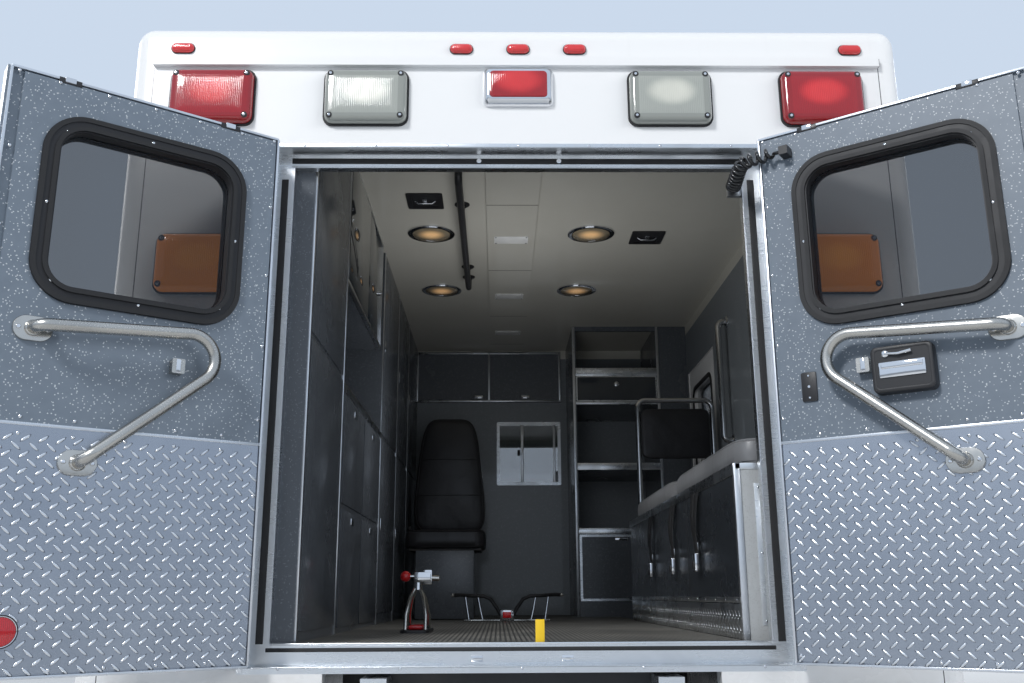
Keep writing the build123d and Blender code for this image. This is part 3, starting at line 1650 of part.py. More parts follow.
def boxed_lamp(wall_name, along, height, size, margin):
    """A rectangular lamp: a base on the wall and a raised lens that stands in from it by a margin."""
    plane = wall_planes()[wall_name]
    with BuildPart() as lamp:
        with BuildSketch(plane):
            with Locations((along, height)):
                RectangleRounded(*size, lamp_corner)
        extrude(amount=lamp_base)
        with BuildSketch(plane.offset(lamp_base)):
            with Locations((along, height)):
                RectangleRounded(size[0] - 2 * margin, size[1] - 2 * margin, lamp_corner - margin / 2)
        extrude(amount=lamp_proud - lamp_base)
        fillet(lamp.faces().sort_by(Axis(plane.origin, plane.z_dir))[-1].edges(), lens_round)
    return lamp.part


def oval_lamp(wall_name, along, height):
    """A small oval marker lamp."""
    with BuildPart() as lamp:
        with BuildSketch(wall_planes()[wall_name]):
            with Locations((along, height)):
                SlotOverall(*marker_size)
        extrude(amount=marker_proud)
    return lamp.part


def round_lamp(along, height):
    """A round lamp on the rear wall beside the step bumper."""
    with BuildPart() as lamp:
        with BuildSketch(across(rear_y)):
            with Locations((along, height)):
                Circle(tail_radius)
        extrude(amount=marker_proud)
    return lamp.part


def head_lamp(side):
    """A headlamp that fills its pocket in the nose."""
    with BuildPart() as lamp:
        block(
            sided(side, lamp_near, lamp_far),
            (nose_y - cab_wall, nose_y - 4),
            (lamp_low, lamp_high),
        )
        fillet(lamp.edges().filter_by(Axis.Z).group_by(Axis.Y)[-1], 20)
    return lamp.part


def turn_lamp(side):
    """A turn lamp on the face of the nose, under the headlamp."""
    with BuildPart() as lamp:
        block(sided(side, lamp_near, lamp_far), (nose_y, nose_y + 14), (grille_low + 20, lamp_low - 40))
    return lamp.part


rear_lamp_y = rear_y + lamp_inset
front_lamp_y = front_y - lamp_inset
middle_lamps = (rear_y + 1330, front_y - 1360)
red_rows = [("back", -warning_x), ("back", warning_x)]
red_rows += [("front", x) for x in (-warning_x, -scene_x, scene_x, warning_x)]
red_rows += [("left", -y) for y in (rear_lamp_y, front_lamp_y)]
red_rows += [("right", y) for y in (rear_lamp_y, front_lamp_y)]
clear_rows = [("back", -scene_x), ("back", scene_x), ("front", 0)]
clear_rows += [("left", -y) for y in middle_lamps]
clear_rows += [("right", y) for y in middle_lamps]
rear_markers = (-1060, -180, 0, 180, 1060)
red_lamp_parts = [boxed_lamp(*row, warning_height, lamp_size, lens_margin) for row in red_rows]
red_lamp_parts += [boxed_lamp("back", 0, brake_height, brake_size, brake_margin)]
red_lamp_parts += [oval_lamp("back", along, marker_height) for along in rear_markers]
red_lamp_parts += [round_lamp(side * tail_xs["red"], tail_height) for side in (-1, 1)]
with BuildPart() as red_lamps:
    add(red_lamp_parts)
keep(red_lamps.part, "red_lamps")

amber_lamp_parts = [
    boxed_lamp("back", side * amber_x, amber_height, lamp_size, lens_margin) for side in (-1, 1)
]
amber_lamp_parts += [oval_lamp("front", along, marker_height) for along in rear_markers]
amber_lamp_parts += [round_lamp(side * tail_xs["amber"], tail_height) for side in (-1, 1)]
amber_lamp_parts += [turn_lamp(side) for side in (-1, 1)]
with BuildPart() as amber_lamps:
    add(amber_lamp_parts)
keep(amber_lamps.part, "amber_lamps")

clear_lamp_parts = [boxed_lamp(*row, warning_height, lamp_size, lens_margin) for row in clear_rows]
clear_lamp_parts += [round_lamp(side * tail_xs["clear"], tail_height) for side in (-1, 1)]
clear_lamp_parts += [head_lamp(side) for side in (-1, 1)]
with BuildPart() as clear_lamps:
    add(clear_lamp_parts)
keep(clear_lamps.part, "clear_lamps")

dome_gap = 4
with BuildPart() as dome_lamps:
    with BuildSketch(Plane.XY.offset(ceiling - 8)):
        with Locations(*[(x, y) for x in (-dome_x, dome_x) for y in dome_ys]):
            Circle(dome_radius - dome_gap)
    extrude(amount=dome_depth + 8)
keep(dome_lamps.part, "dome_lamps")

# Coiled lead from the right-hand jamb to the leaf, as a tube of the coil's outer diameter
lead_line_out = leaf_inner + lead_gap + lead_radius
lead_end = Vector(*leaf_point(socket_along, lead_height + lead_rise / 2, lead_line_out))
lead_corner = lead_end - open_dir * ((lead_end.X - lead_x) / open_dir.X)
lead_run = stop_y + socket_inset - lead_corner.Y
lead_start = Vector(lead_x, stop_y + socket_inset - lead_radius * lead_rise / lead_run, jamb_lead_z)
last_run = (lead_end - lead_corner).length
lead_turn = radians(90) - swing
lead_bend = 0.45 * min(last_run, (lead_corner - lead_start).length) / tan(lead_turn / 2)
with BuildPart() as door_lead:
    with BuildLine() as lead_line:
        FilletPolyline(lead_start, lead_corner, lead_end, radius=lead_bend)
    with BuildSketch(Plane(origin=lead_line.line @ 0, z_dir=lead_line.line % 0)):
        Circle(lead_radius)
    sweep(path=lead_line.line)
print("Bend radius of the lead:", round(lead_bend, 1))
keep(door_lead.part, "door_lead")
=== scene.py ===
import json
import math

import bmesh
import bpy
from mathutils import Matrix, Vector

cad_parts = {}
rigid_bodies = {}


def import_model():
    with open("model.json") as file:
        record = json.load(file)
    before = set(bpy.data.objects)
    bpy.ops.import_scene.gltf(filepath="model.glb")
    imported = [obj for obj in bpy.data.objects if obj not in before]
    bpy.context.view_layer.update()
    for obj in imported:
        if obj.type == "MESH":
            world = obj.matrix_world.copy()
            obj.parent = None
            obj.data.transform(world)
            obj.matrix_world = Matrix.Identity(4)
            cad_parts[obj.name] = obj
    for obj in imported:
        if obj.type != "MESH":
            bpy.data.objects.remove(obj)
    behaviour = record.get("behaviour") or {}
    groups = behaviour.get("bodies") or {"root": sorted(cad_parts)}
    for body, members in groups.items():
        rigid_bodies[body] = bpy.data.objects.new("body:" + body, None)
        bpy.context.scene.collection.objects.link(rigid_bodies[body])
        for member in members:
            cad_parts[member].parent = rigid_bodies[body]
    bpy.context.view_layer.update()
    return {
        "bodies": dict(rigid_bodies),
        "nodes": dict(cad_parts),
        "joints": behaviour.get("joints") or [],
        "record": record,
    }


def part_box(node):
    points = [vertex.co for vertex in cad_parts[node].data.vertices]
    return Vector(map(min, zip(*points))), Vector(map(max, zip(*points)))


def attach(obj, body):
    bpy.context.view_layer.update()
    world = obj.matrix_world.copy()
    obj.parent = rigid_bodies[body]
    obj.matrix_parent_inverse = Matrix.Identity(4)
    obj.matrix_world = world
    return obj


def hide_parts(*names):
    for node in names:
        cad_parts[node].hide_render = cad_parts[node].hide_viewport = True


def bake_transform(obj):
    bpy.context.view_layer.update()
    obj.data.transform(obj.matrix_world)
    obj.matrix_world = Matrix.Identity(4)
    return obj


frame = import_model()

# %% [markdown]
# # A box ambulance with its rear doors open
# The vehicle is a van cab on a ladder frame with a square, white patient module behind it. The packed
# model already has every panel, door, wheel and seat in its place, in metres, with +Y forward. This file
# gives each of them its finish and adds what is too fine for the model: screws, tread plate, lamp lenses,
# seals, upholstery, tyre tread and the coiled lead.

nodes = frame["nodes"]
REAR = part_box("module_rear_wall")[0].y
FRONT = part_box("module_front_wall")[1].y
SIDE = 1.22
INNER = 1.16
WALL_REACH = 0.0595
FLOOR = 0.8
CEILING = 2.63
HUB_HEIGHT = 0.372
CORNERS = ((-1, -1), (-1, 1), (1, -1), (1, 1))


def axle_middle(rim):
    """The point between a pair of wheels, from the box of one rim."""
    return Vector((0, sum(corner.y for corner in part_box(rim)) / 2, HUB_HEIGHT))


def linked(name, data):
    """A new object in the scene."""
    made = bpy.data.objects.new(name, data)
    bpy.context.scene.collection.objects.link(made)
    return made


REAR_AXLE, FRONT_AXLE = axle_middle("rear_rims_left"), axle_middle("front_rim_left")
print("rear face", round(REAR, 4), "front face", round(FRONT, 4), "axles", REAR_AXLE.y, FRONT_AXLE.y)

# %% [markdown]
# ## Camera
# The photograph looks forward through the rear doorway from about 2.8 m behind it, a little above knee
# height, tilted up by 14.5 degrees. The lens was found by fitting the lamps, the door frame and the
# leaves, whose sizes are known, to their places in the picture.

# %% Camera
PICTURE_WIDTH, FOCAL_PIXELS, SENSOR = 1024, 981.5, 36
EYE = (-0.0648, REAR - 2.7917, FLOOR + 0.1273)
lens_camera = linked("camera", bpy.data.cameras.new("camera"))
lens_camera.data.sensor_width = SENSOR
lens_camera.data.lens = FOCAL_PIXELS / PICTURE_WIDTH * SENSOR
tilt, turn, roll = 0.25336, 0.014743, -0.00493
ahead = Vector((math.sin(turn) * math.cos(tilt), math.cos(turn) * math.cos(tilt), math.sin(tilt)))
level = Vector((math.cos(turn), -math.sin(turn), 0))
upright = level.cross(ahead)
right_hand = level * math.cos(roll) + upright * math.sin(roll)
top_hand = upright * math.cos(roll) - level * math.sin(roll)
axes = Matrix((right_hand, top_hand, -ahead)).transposed().to_4x4()
lens_camera.matrix_world = Matrix.Translation(EYE) @ axes
bpy.context.scene.camera = lens_camera
print("camera at", [round(c, 3) for c in lens_camera.location])

# %% [markdown]
# ## Shader sums in plain Python
# A procedural finish is arithmetic on places and patterns. `Value` wraps a shader socket so that the usual
# operators add Math nodes, and `Finish` makes one material, hands out its coordinates and patterns, and
# ends in one Principled shader.

# %% Shader values
class Value:
    """One number of a shader, which adds Math nodes when it is calculated with."""

    def __init__(self, finish, socket):
        self.finish = finish
        self.socket = socket

    def __add__(self, other):
        return self.finish.math("ADD", self, other)

    __radd__ = __add__

    def __sub__(self, other):
        return self.finish.math("SUBTRACT", self, other)

    def __rsub__(self, other):
        return self.finish.math("SUBTRACT", other, self)

    def __mul__(self, other):
        return self.finish.math("MULTIPLY", self, other)

    __rmul__ = __mul__

    def __truediv__(self, other):
        return self.finish.math("DIVIDE", self, other)

    def __pow__(self, other):
        return self.finish.math("POWER", self, other)

    def __gt__(self, other):
        return self.finish.math("GREATER_THAN", self, other)

    def __lt__(self, other):
        return self.finish.math("LESS_THAN", self, other)

    def __abs__(self):
        return self.finish.math("ABSOLUTE", self)

    def sine(self):
        return self.finish.math("SINE", self)

    def most(self, other):
        return self.finish.math("MAXIMUM", self, other)

    def rise(self, low, high):
        """0 below low, 1 above high, and a smooth step between them."""
        step = self.finish.add(
            "ShaderNodeMapRange",
            {0: self, 1: low, 2: high, 3: 0.0, 4: 1.0},
            interpolation_type="SMOOTHSTEP",
        )
        return Value(self.finish, step.outputs[0])


# %% Finishes
class Finish:
    """One material. Its patterns read Object coordinates, so they stay with a piece that moves."""

    def __init__(self, name):
        self.material = bpy.data.materials.new(name)
        self.material.use_nodes = True
        self.tree = self.material.node_tree
        self.tree.nodes.clear()
        self.output = self.tree.nodes.new("ShaderNodeOutputMaterial")
        self.places = self.tree.nodes.new("ShaderNodeTexCoord")
        split = self.add("ShaderNodeSeparateXYZ", {0: self.places.outputs["Object"]})
        self.x, self.y, self.z = (Value(self, socket) for socket in split.outputs)

    def add(self, kind, values=None, **settings):
        node = self.tree.nodes.new(kind)
        for name, setting in settings.items():
            setattr(node, name, setting)
        for key, value in (values or {}).items():
            self.feed(node.inputs[key], value)
        return node

    def feed(self, socket, value):
        if isinstance(value, Value):
            self.tree.links.new(value.socket, socket)
        elif isinstance(value, bpy.types.NodeSocket):
            self.tree.links.new(value, socket)
        else:
            socket.default_value = value

    def math(self, operation, *values):
        node = self.add("ShaderNodeMath", dict(enumerate(values)), operation=operation)
        return Value(self, node.outputs[0])

    def place(self, x, y, z):
        """A vector from three values, for a pattern with its own axes or stretch."""
        return self.add("ShaderNodeCombineXYZ", {0: x, 1: y, 2: z}).outputs[0]

    def flat(self):
        """Right and up in the flat measures of a fitting."""
        split = self.add("ShaderNodeSeparateXYZ", {0: self.add("ShaderNodeUVMap", uv_map="flat").outputs[0]})
        return Value(self, split.outputs[0]), Value(self, split.outputs[1])

    def noise(self, scale, detail=2.0, place=None):
        place = place or self.places.outputs["Object"]
        node = self.add("ShaderNodeTexNoise", {"Vector": place, "Scale": scale, "Detail": detail})
        return Value(self, node.outputs[0])

    def cells(self, scale, place=None):
        place = place or self.places.outputs["Object"]
        node = self.add("ShaderNodeTexVoronoi", {"Vector": place, "Scale": scale})
        return Value(self, node.outputs["Distance"])

    def tint(self, socket, colour):
        self.feed(socket, colour if isinstance(colour, bpy.types.NodeSocket) else (*colour, 1.0))

    def mix(self, mask, first, second):
        """The first colour where the mask is 0 and the second where it is 1."""
        node = self.add("ShaderNodeMix", data_type="RGBA")
        self.feed(node.inputs[0], mask)
        for index, colour in ((6, first), (7, second)):
            self.tint(node.inputs[index], colour)
        return node.outputs[2]

    def bump(self, height, distance, strength=1.0):
        node = self.add("ShaderNodeBump", {"Height": height, "Distance": distance, "Strength": strength})
        return node.outputs[0]

    def shader(self, colour, metal=0.0, rough=0.5, normal=None, **constants):
        """A Principled shader with a colour, metal and roughness that may vary, and constants for the rest."""
        node = self.add("ShaderNodeBsdfPrincipled")
        self.tint(node.inputs["Base Color"], colour)
        self.feed(node.inputs["Metallic"], metal)
        self.feed(node.inputs["Roughness"], rough)
        if normal is not None:
            self.feed(node.inputs["Normal"], normal)
        for name, value in constants.items():
            self.feed(node.inputs[name.replace("_", " ")], value)
        return node.outputs[0]

    def done(self, shader):
        self.feed(self.output.inputs["Surface"], shader)
        return self.material


def dress(finish, *names):
    """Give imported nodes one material."""
    for name in names:
        nodes[name].data.materials.clear()
        nodes[name].data.materials.append(finish)


# %% [markdown]
# ## Coachwork
# The module is white gloss paint over aluminium sheet, with a clear coat, a faint orange peel and road
# film low down. Its inner faces are grey laminate, and the ceiling is a pale satin panel. One finish does
# all of it, because a wall is one solid from its outer face to its inner one: the place across the
# vehicle says which face a point is on.

# %% White coachwork
SIDE_SEAM, SEAM_TOP, SEAM_HALF = 1.145, 2.57, 0.0014


def coachwork(name, ceiling=False):
    paint = Finish(name)
    inside = (abs(paint.x) < INNER + 0.0005) * (paint.y > REAR + WALL_REACH) * (paint.y < FRONT - WALL_REACH)
    if ceiling:
        inside = inside * (paint.z < CEILING + 0.04)
    film = (1 - paint.z.rise(0.45, 1.15)) * paint.noise(5, 5).rise(0.35, 0.75) * 0.4
    streaks = paint.noise(3, 3, paint.place(paint.x * 9, paint.y * 9, paint.z * 0.5)).rise(0.62, 0.85) * 0.06
    seam = (abs(abs(paint.x) - SIDE_SEAM) < SEAM_HALF) * (paint.z < SEAM_TOP)
    white = paint.mix(film + streaks, (0.86, 0.87, 0.88), (0.45, 0.42, 0.37))
    white = paint.mix(seam, white, (0.10, 0.10, 0.11))
    fleck = (paint.cells(220) < 0.28) * (paint.noise(60) > 0.55)
    lining = paint.mix(fleck, (0.16, 0.18, 0.20), (0.30, 0.32, 0.34))
    if ceiling:
        lining = paint.mix(paint.noise(4, 3), (0.50, 0.49, 0.44), (0.56, 0.55, 0.50))
    peel = paint.bump(paint.noise(420, 1), 0.00025, 0.5)
    colour = paint.mix(inside, white, lining)
    rough = 0.2 + inside * 0.22 + film * 0.5 + paint.noise(30) * 0.05
    return paint.done(paint.shader(colour, 0.0, rough, peel, Coat_Weight=0.35, Coat_Roughness=0.06))


module_white = coachwork("module_white")
roof_white = coachwork("roof_white", ceiling=True)
dress(module_white, "module_left_wall", "module_right_wall", "module_rear_wall", "module_front_wall")
dress(roof_white, "module_roof")
dress(module_white, "left_rear_hatch", "left_front_hatch", "right_rear_hatch", "side_door")
print("coachwork finishes:", module_white.name, roof_white.name)

# %% [markdown]
# The cab is the same white outside and dark trim inside. Its shell is one bent solid, so the side of a
# face is read from its normal: outside faces look away from a point in the middle of the cab, inside
# faces look towards it. The wheel arches are black whatever way they face.

# %% Cab paint
CAB_MIDDLE = (2.2, 0.9)
ARCH_RADIUS, ARCH_SIDE = 0.463, 0.94


def cab_paint(name):
    paint = Finish(name)
    facing = paint.add("ShaderNodeSeparateXYZ", {0: paint.places.outputs["Normal"]})
    across, along, up = (Value(paint, socket) for socket in facing.outputs)
    outward = across * paint.x + along * (paint.y - CAB_MIDDLE[0]) + up * (paint.z - CAB_MIDDLE[1])
    forward, upward = paint.y - FRONT_AXLE.y, paint.z - HUB_HEIGHT
    arch = forward * forward + upward * upward
    inside = (1 - (outward > 0)).most((arch < ARCH_RADIUS * ARCH_RADIUS) * (abs(paint.x) < ARCH_SIDE))
    film = (1 - paint.z.rise(0.45, 1.0)) * paint.noise(5, 5).rise(0.35, 0.75) * 0.4
    white = paint.mix(film, (0.86, 0.87, 0.88), (0.45, 0.42, 0.37))
    grain = paint.noise(380, 2)
    colour = paint.mix(inside, white, (0.045, 0.046, 0.05))
    peel = paint.bump(paint.noise(420, 1) * (1 - inside) + grain * inside * 3, 0.00025, 0.5)
    rough = 0.2 + inside * 0.45 + film * 0.5
    return paint.done(paint.shader(colour, 0.0, rough, peel, Coat_Weight=0.3, Coat_Roughness=0.06))


cab_white = cab_paint("cab_white")
dress(cab_white, "cab_shell", "hood", "cab_door_left", "cab_door_right")
print("cab finish:", cab_white.name)

# %% [markdown]
# ## Metals
# Bare metal looks right when its roughness varies: brushing runs in one direction, hands and weather dull
# it in patches. One function makes the bright ones, with the stretch of the brushing as its argument.

# %% Bare metals
def bare_metal(name, colour, rough, brushing=(1, 1, 1), depth=0.00004, coarse=300, dull=0.15):
    metal = Finish(name)
    stretched = [value * stretch for value, stretch in zip((metal.x, metal.y, metal.z), brushing)]
    lines = metal.noise(coarse, 2, metal.place(*stretched))
    patches = metal.noise(7, 4).rise(0.4, 0.75)
    shade = metal.mix(patches * 0.5, colour, tuple(c * 0.72 for c in colour))
    value = rough + (lines - 0.5) * 0.12 + patches * dull
    return metal.done(metal.shader(shade, 1.0, value, metal.bump(lines, depth, 0.35)))


aluminium = bare_metal("bright_aluminium", (0.74, 0.76, 0.79), 0.28, (1, 1, 0.02))
level_aluminium = bare_metal("level_aluminium", (0.76, 0.78, 0.80), 0.26, (0.02, 1, 1))
stainless = bare_metal("brushed_stainless", (0.62, 0.60, 0.56), 0.20, (1, 1, 1), 0.00001, 90, 0.04)
chrome = bare_metal("chrome", (0.80, 0.81, 0.83), 0.08, (1, 1, 1), 0.00001, 100, 0.05)
wheel_steel = bare_metal("wheel_steel", (0.70, 0.71, 0.73), 0.25, (1, 1, 1))
print("metals:", [m.name for m in (aluminium, level_aluminium, stainless, chrome, wheel_steel)])

# %% Painted and cast metal
def chassis_paint(name, colour, rust):
    paint = Finish(name)
    rusty = paint.noise(9, 6).rise(1 - rust, 1.05 - rust * 0.5)
    dust = paint.noise(3, 4).rise(0.45, 0.8) * 0.35
    shade = paint.mix(dust, colour, (0.16, 0.145, 0.125))
    shade = paint.mix(rusty, shade, (0.16, 0.07, 0.03))
    rough = 0.5 + rusty * 0.35 + dust * 0.3
    return paint.done(paint.shader(shade, 0.0, rough, paint.bump(paint.noise(160, 3), 0.0004, 0.4)))


frame_black = chassis_paint("frame_black", (0.022, 0.022, 0.024), 0.36)
iron = chassis_paint("engine_iron", (0.13, 0.13, 0.13), 0.48)
dress(frame_black, "chassis_frame", "front_axle", "rear_axle", "knuckle_left", "knuckle_right")
dress(iron, "engine_and_exhaust")
dress(chrome, "front_bumper", "front_grille")
dress(level_aluminium, "rear_step_bumper", "rear_door_frame", "steps_and_trim")
dress(wheel_steel, "front_rim_left", "front_rim_right", "rear_rims_left", "rear_rims_right")
print("chassis finishes:", frame_black.name, iron.name)

# %% [markdown]
# ## Rear door leaves
# Each leaf has a white outer face, a blue-grey speckled laminate on the upper part of its inside and
# bright tread plate on the lower part, whose raised bars are painted brighter still as a painted highlight.
# The two leaves mirror each other, so the finish works on the distance from the middle plane. Three
# directions describe a leaf: along it from its hinge, up, and out from the plane of its hinge towards the
# inside of the vehicle.

# %% Where a leaf stands
HINGE = Vector((0.755, REAR - 0.012, FLOOR))
SWING = math.radians(36)
ALONG = Vector((math.cos(SWING), -math.sin(SWING), 0))
INWARD = Vector((-math.sin(SWING), -math.cos(SWING), 0))
LEAF_BACK, LEAF_SKIN = 0.012, 0.067
PANE_HALF = 0.0032
SPLIT = 0.536
leaf_frame = Matrix((ALONG, (0, 0, 1), INWARD)).transposed().to_4x4()
leaf_frame.translation = HINGE
print("leaf hinged at", [round(c, 3) for c in HINGE], "along", [round(c, 3) for c in ALONG])


def leaf_axes(finish):
    """Along and out on whichever leaf the point belongs to."""
    across = abs(finish.x) - HINGE.x
    back = finish.y - HINGE.y
    return across * ALONG.x + back * ALONG.y, across * INWARD.x + back * INWARD.y


# %% Leaf finish
leaf = Finish("leaf_skins")
along, out = leaf_axes(leaf)
on_skin = out > LEAF_SKIN - 0.0105
plate = on_skin * (leaf.z < FLOOR + SPLIT)
fleck_place = leaf.place(along, leaf.z, 0.0)
flecks = leaf.cells(120, fleck_place) < 0.21
cloud = leaf.noise(26, 3, fleck_place)
laminate = leaf.mix(cloud, (0.135, 0.170, 0.215), (0.180, 0.220, 0.270))
laminate = leaf.mix(flecks * 0.85, laminate, (0.62, 0.66, 0.70))
metal_shade = leaf.mix(leaf.noise(6, 4), (0.34, 0.37, 0.42), (0.46, 0.49, 0.54))
# The upper halves of the tread bars are painted near-white: a painted highlight, since the bars are the same
# metal as the plate.
metal_shade = leaf.mix(out > LEAF_SKIN + 0.0003, metal_shade, (0.80, 0.82, 0.85))
shade = leaf.mix(on_skin, (0.84, 0.85, 0.86), laminate)
shade = leaf.mix(plate, shade, metal_shade)
rough = 0.22 + on_skin * 0.2 + plate * -0.18 + leaf.noise(18, 3) * 0.06
relief = leaf.bump(leaf.noise(300, 2, fleck_place), 0.0001, 0.4)
dress(leaf.done(leaf.shader(shade, plate, rough, relief)), "rear_door_left", "rear_door_right")
print("leaf finish:", leaf.material.name)

# %% [markdown]
# ## Glass, rubber and plastics
# Vehicle glass is thin, so it is a glossy tinted surface that lets part of the light straight through.
# The rear panes sit in a black rubber gasket, which is the same solid: the pane lies in the middle of the
# leaf's thickness, and that tells the two apart. Plastics and rubbers share one function.

# %% Glass and gaskets
def glass(name, tint, alpha):
    pane = Finish(name)
    smear = pane.noise(9, 4).rise(0.5, 0.8)
    return pane.done(pane.shader(tint, 0.0, 0.015 + smear * 0.05, None, Alpha=alpha, IOR=1.52, Coat_Weight=0.6))


clear_glass = glass("clear_glass", (0.10, 0.13, 0.13), 0.3)
dress(clear_glass, "windscreen", "cab_door_glass_left", "cab_door_glass_right")
room_glass = glass("room_glass", (0.012, 0.018, 0.022), 0.78)
dress(room_glass, "side_door_glass")

gasket = Finish("tinted_pane_in_rubber")
along, out = leaf_axes(gasket)
pane_mask = abs(out - (LEAF_BACK + LEAF_SKIN) / 2) < PANE_HALF
rubber_grain = gasket.bump(gasket.noise(350, 2), 0.0002, 0.5)
rubber = gasket.shader((0.012, 0.012, 0.014), 0.0, 0.45 + gasket.noise(20) * 0.15, rubber_grain)
tinted = gasket.shader((0.006, 0.010, 0.016), 0.0, 0.008, None, Alpha=0.58, IOR=1.38)
choice = gasket.add("ShaderNodeMixShader", {0: pane_mask, 1: rubber, 2: tinted})
dress(gasket.done(choice.outputs[0]), "rear_door_glass_left", "rear_door_glass_right")


def plain_finish(name, colour, rough, grain, depth, **constants):
    """Plastic or rubber: a colour with faint cloud, grain relief and uneven sheen."""
    wear = 0.12
    stuff = Finish(name)
    cloud = stuff.noise(8, 4).rise(0.35, 0.75)
    shade = stuff.mix(cloud, colour, tuple(min(1.0, c * (1 + wear * 2) + wear * 0.02) for c in colour))
    relief = stuff.bump(stuff.noise(grain, 3) * 0.5 + stuff.cells(grain * 0.6) * 0.5, depth, 0.6)
    return stuff.done(stuff.shader(shade, 0.0, rough + cloud * wear, relief, **constants))


black_plastic = plain_finish("black_plastic", (0.018, 0.018, 0.020), 0.38, 500, 0.0003)
black_rubber = plain_finish("black_rubber", (0.014, 0.014, 0.015), 0.6, 300, 0.0003)
white_plastic = plain_finish("white_plastic", (0.72, 0.73, 0.73), 0.35, 400, 0.0001)
dash_black = plain_finish("dash_plastic", (0.035, 0.036, 0.04), 0.6, 420, 0.0006)
dress(dash_black, "dashboard", "steering_wheel")
print("plastics and rubbers:", black_plastic.name, black_rubber.name, white_plastic.name)

# %% [markdown]
# ## Cabinets and floor
# The cabinets are dark grey laminate with a soft gloss. The floor is grey sheet with fine ribs that run
# from the doorway to the front, paler in patches towards the doorway, with the grooves between its ribs painted
# darker as painted shade.

# %% Cabinet laminate and ribbed floor
sheet = Finish("cabinet_laminate")
fleck = (sheet.cells(200) < 0.3) * (sheet.noise(90, 1) > 0.55)
sheet_shade = sheet.mix(fleck * 0.7, (0.075, 0.085, 0.10), (0.20, 0.22, 0.24))
smear = sheet.noise(4, 5).rise(0.4, 0.8)
sheet_grain = sheet.bump(sheet.noise(260, 2), 0.0001, 0.5)
cabinet_grey = sheet.done(sheet.shader(sheet_shade, 0.0, 0.2 + smear * 0.12, sheet_grain))
dress(cabinet_grey, "left_cabinets", "front_cabinets")

bench = Finish("bench_panels")
end_panel = bench.y < REAR + 0.1505
bench_shade = bench.mix(end_panel, (0.022, 0.026, 0.032), (0.52, 0.54, 0.55))
bench_shade = bench.mix((bench.cells(200) < 0.28) * 0.3, bench_shade, (0.2, 0.2, 0.2))
bench_grain = bench.bump(bench.noise(260, 2), 0.0001, 0.5)
dress(bench.done(bench.shader(bench_shade, 0.0, 0.2 + bench.noise(5, 4) * 0.15, bench_grain)), "squad_bench")

vinyl = Finish("ribbed_floor")
# Paler in patches towards the doorway, fading out by 3.5 m in.
paler_towards_door = vinyl.noise(3, 5).rise(0.3, 0.75) * (1 - vinyl.y.rise(REAR + 0.4, REAR + 3.5))
RIB_STEP = 0.0155
ribs = (vinyl.x * (2 * math.pi / RIB_STEP)).sine().rise(-0.1, 0.8)
on_top = vinyl.z > FLOOR - 0.001
ground = vinyl.mix(paler_towards_door, (0.115, 0.115, 0.108), (0.25, 0.24, 0.215))
# The grooves between the ribs are painted darker: painted shade.
ground = vinyl.mix(ribs, ground, (0.05, 0.05, 0.05))
ground = vinyl.mix(on_top, (0.03, 0.03, 0.032), ground)
rib_relief = vinyl.bump(ribs * -1.0, 0.0015, 0.7)
dress(vinyl.done(vinyl.shader(ground, 0.0, 0.5 + vinyl.noise(12, 3) * 0.2, rib_relief)), "module_floor")
print("cabinet and floor finishes:", cabinet_grey.name, vinyl.material.name)

# %% [markdown]
# ## Lens plastics
# Reflectors and headlamps are moulded colour right through and fluted on the inside. A fine wave of ribs
# makes the flutes, and light scatters a little under the surface.

# %% Reflectors and headlamps
FLUTE_STEP = 0.0062


def lens(name, colour, deep):
    moulding = Finish(name)
    flutes = ((moulding.x + moulding.y) * (2 * math.pi / FLUTE_STEP)).sine()
    shade = moulding.mix(flutes * 0.18 + 0.2 + moulding.noise(14, 2) * 0.4, colour, deep)
    relief = moulding.bump(flutes, 0.0006, 0.35)
    return moulding.done(
        moulding.shader(
            shade, 0.0, 0.12, relief, Coat_Weight=1.0, Coat_Roughness=0.03,
            Subsurface_Weight=0.25, Subsurface_Scale=0.02, IOR=1.49,
        )
    )


red_lens = lens("red_lens", (0.62, 0.006, 0.012), (0.30, 0.002, 0.006))
clear_lens = lens("clear_lens", (0.66, 0.67, 0.61), (0.47, 0.49, 0.46))
print("lenses:", red_lens.name, clear_lens.name)

# %% [markdown]
# ## Tyres
# Rubber that has been on the road is dark grey, dusty in its grooves, with fine rings moulded into the
# wall. The rings follow the distance from the axle.

# %% Tyre rubber
def tyre_finish(name, centre):
    rubber = Finish(name)
    forward = rubber.y - centre.y
    upward = rubber.z - centre.z
    radius = (forward * forward + upward * upward) ** 0.5
    rings = (radius * 900).sine() * radius.rise(0.22, 0.24) * (1 - radius.rise(0.34, 0.35))
    dust = rubber.noise(14, 5).rise(0.4, 0.75) * 0.5
    shade = rubber.mix(dust, (0.016, 0.016, 0.017), (0.075, 0.07, 0.062))
    relief = rubber.bump(rings * 0.5 + rubber.noise(240, 3), 0.0006, 0.6)
    return rubber.done(rubber.shader(shade, 0.0, 0.72 + dust * 0.2, relief))


front_rubber = tyre_finish("front_tyre_rubber", FRONT_AXLE)
rear_rubber = tyre_finish("rear_tyre_rubber", REAR_AXLE)
print("tyre finishes:", front_rubber.name, rear_rubber.name)

# %% [markdown]
# ## Small fittings
# Real fittings are moulded, pressed or turned, so their edges are round and catch a line of light.
# `Fitting` collects such closed forms in one mesh. Each form is drawn in a frame of its own, with x to
# the right, y up and z out of the wall that it sits on, and those flat measures stay in a UV map, where
# a finish can read them.

# %% Fittings
def wall_frame(origin, right, up=(0, 0, 1)):
    right, up = Vector(right).normalized(), Vector(up).normalized()
    frame = Matrix((right, up, right.cross(up))).transposed().to_4x4()
    frame.translation = Vector(origin)
    return frame


BACK = wall_frame((0, REAR, 0), (1, 0, 0))
NOSE_WALL = wall_frame((0, FRONT, 0), (-1, 0, 0))
LEFT = wall_frame((-SIDE, 0, 0), (0, -1, 0))
RIGHT = wall_frame((SIDE, 0, 0), (0, 1, 0))
LEVEL = Matrix.Identity(4)


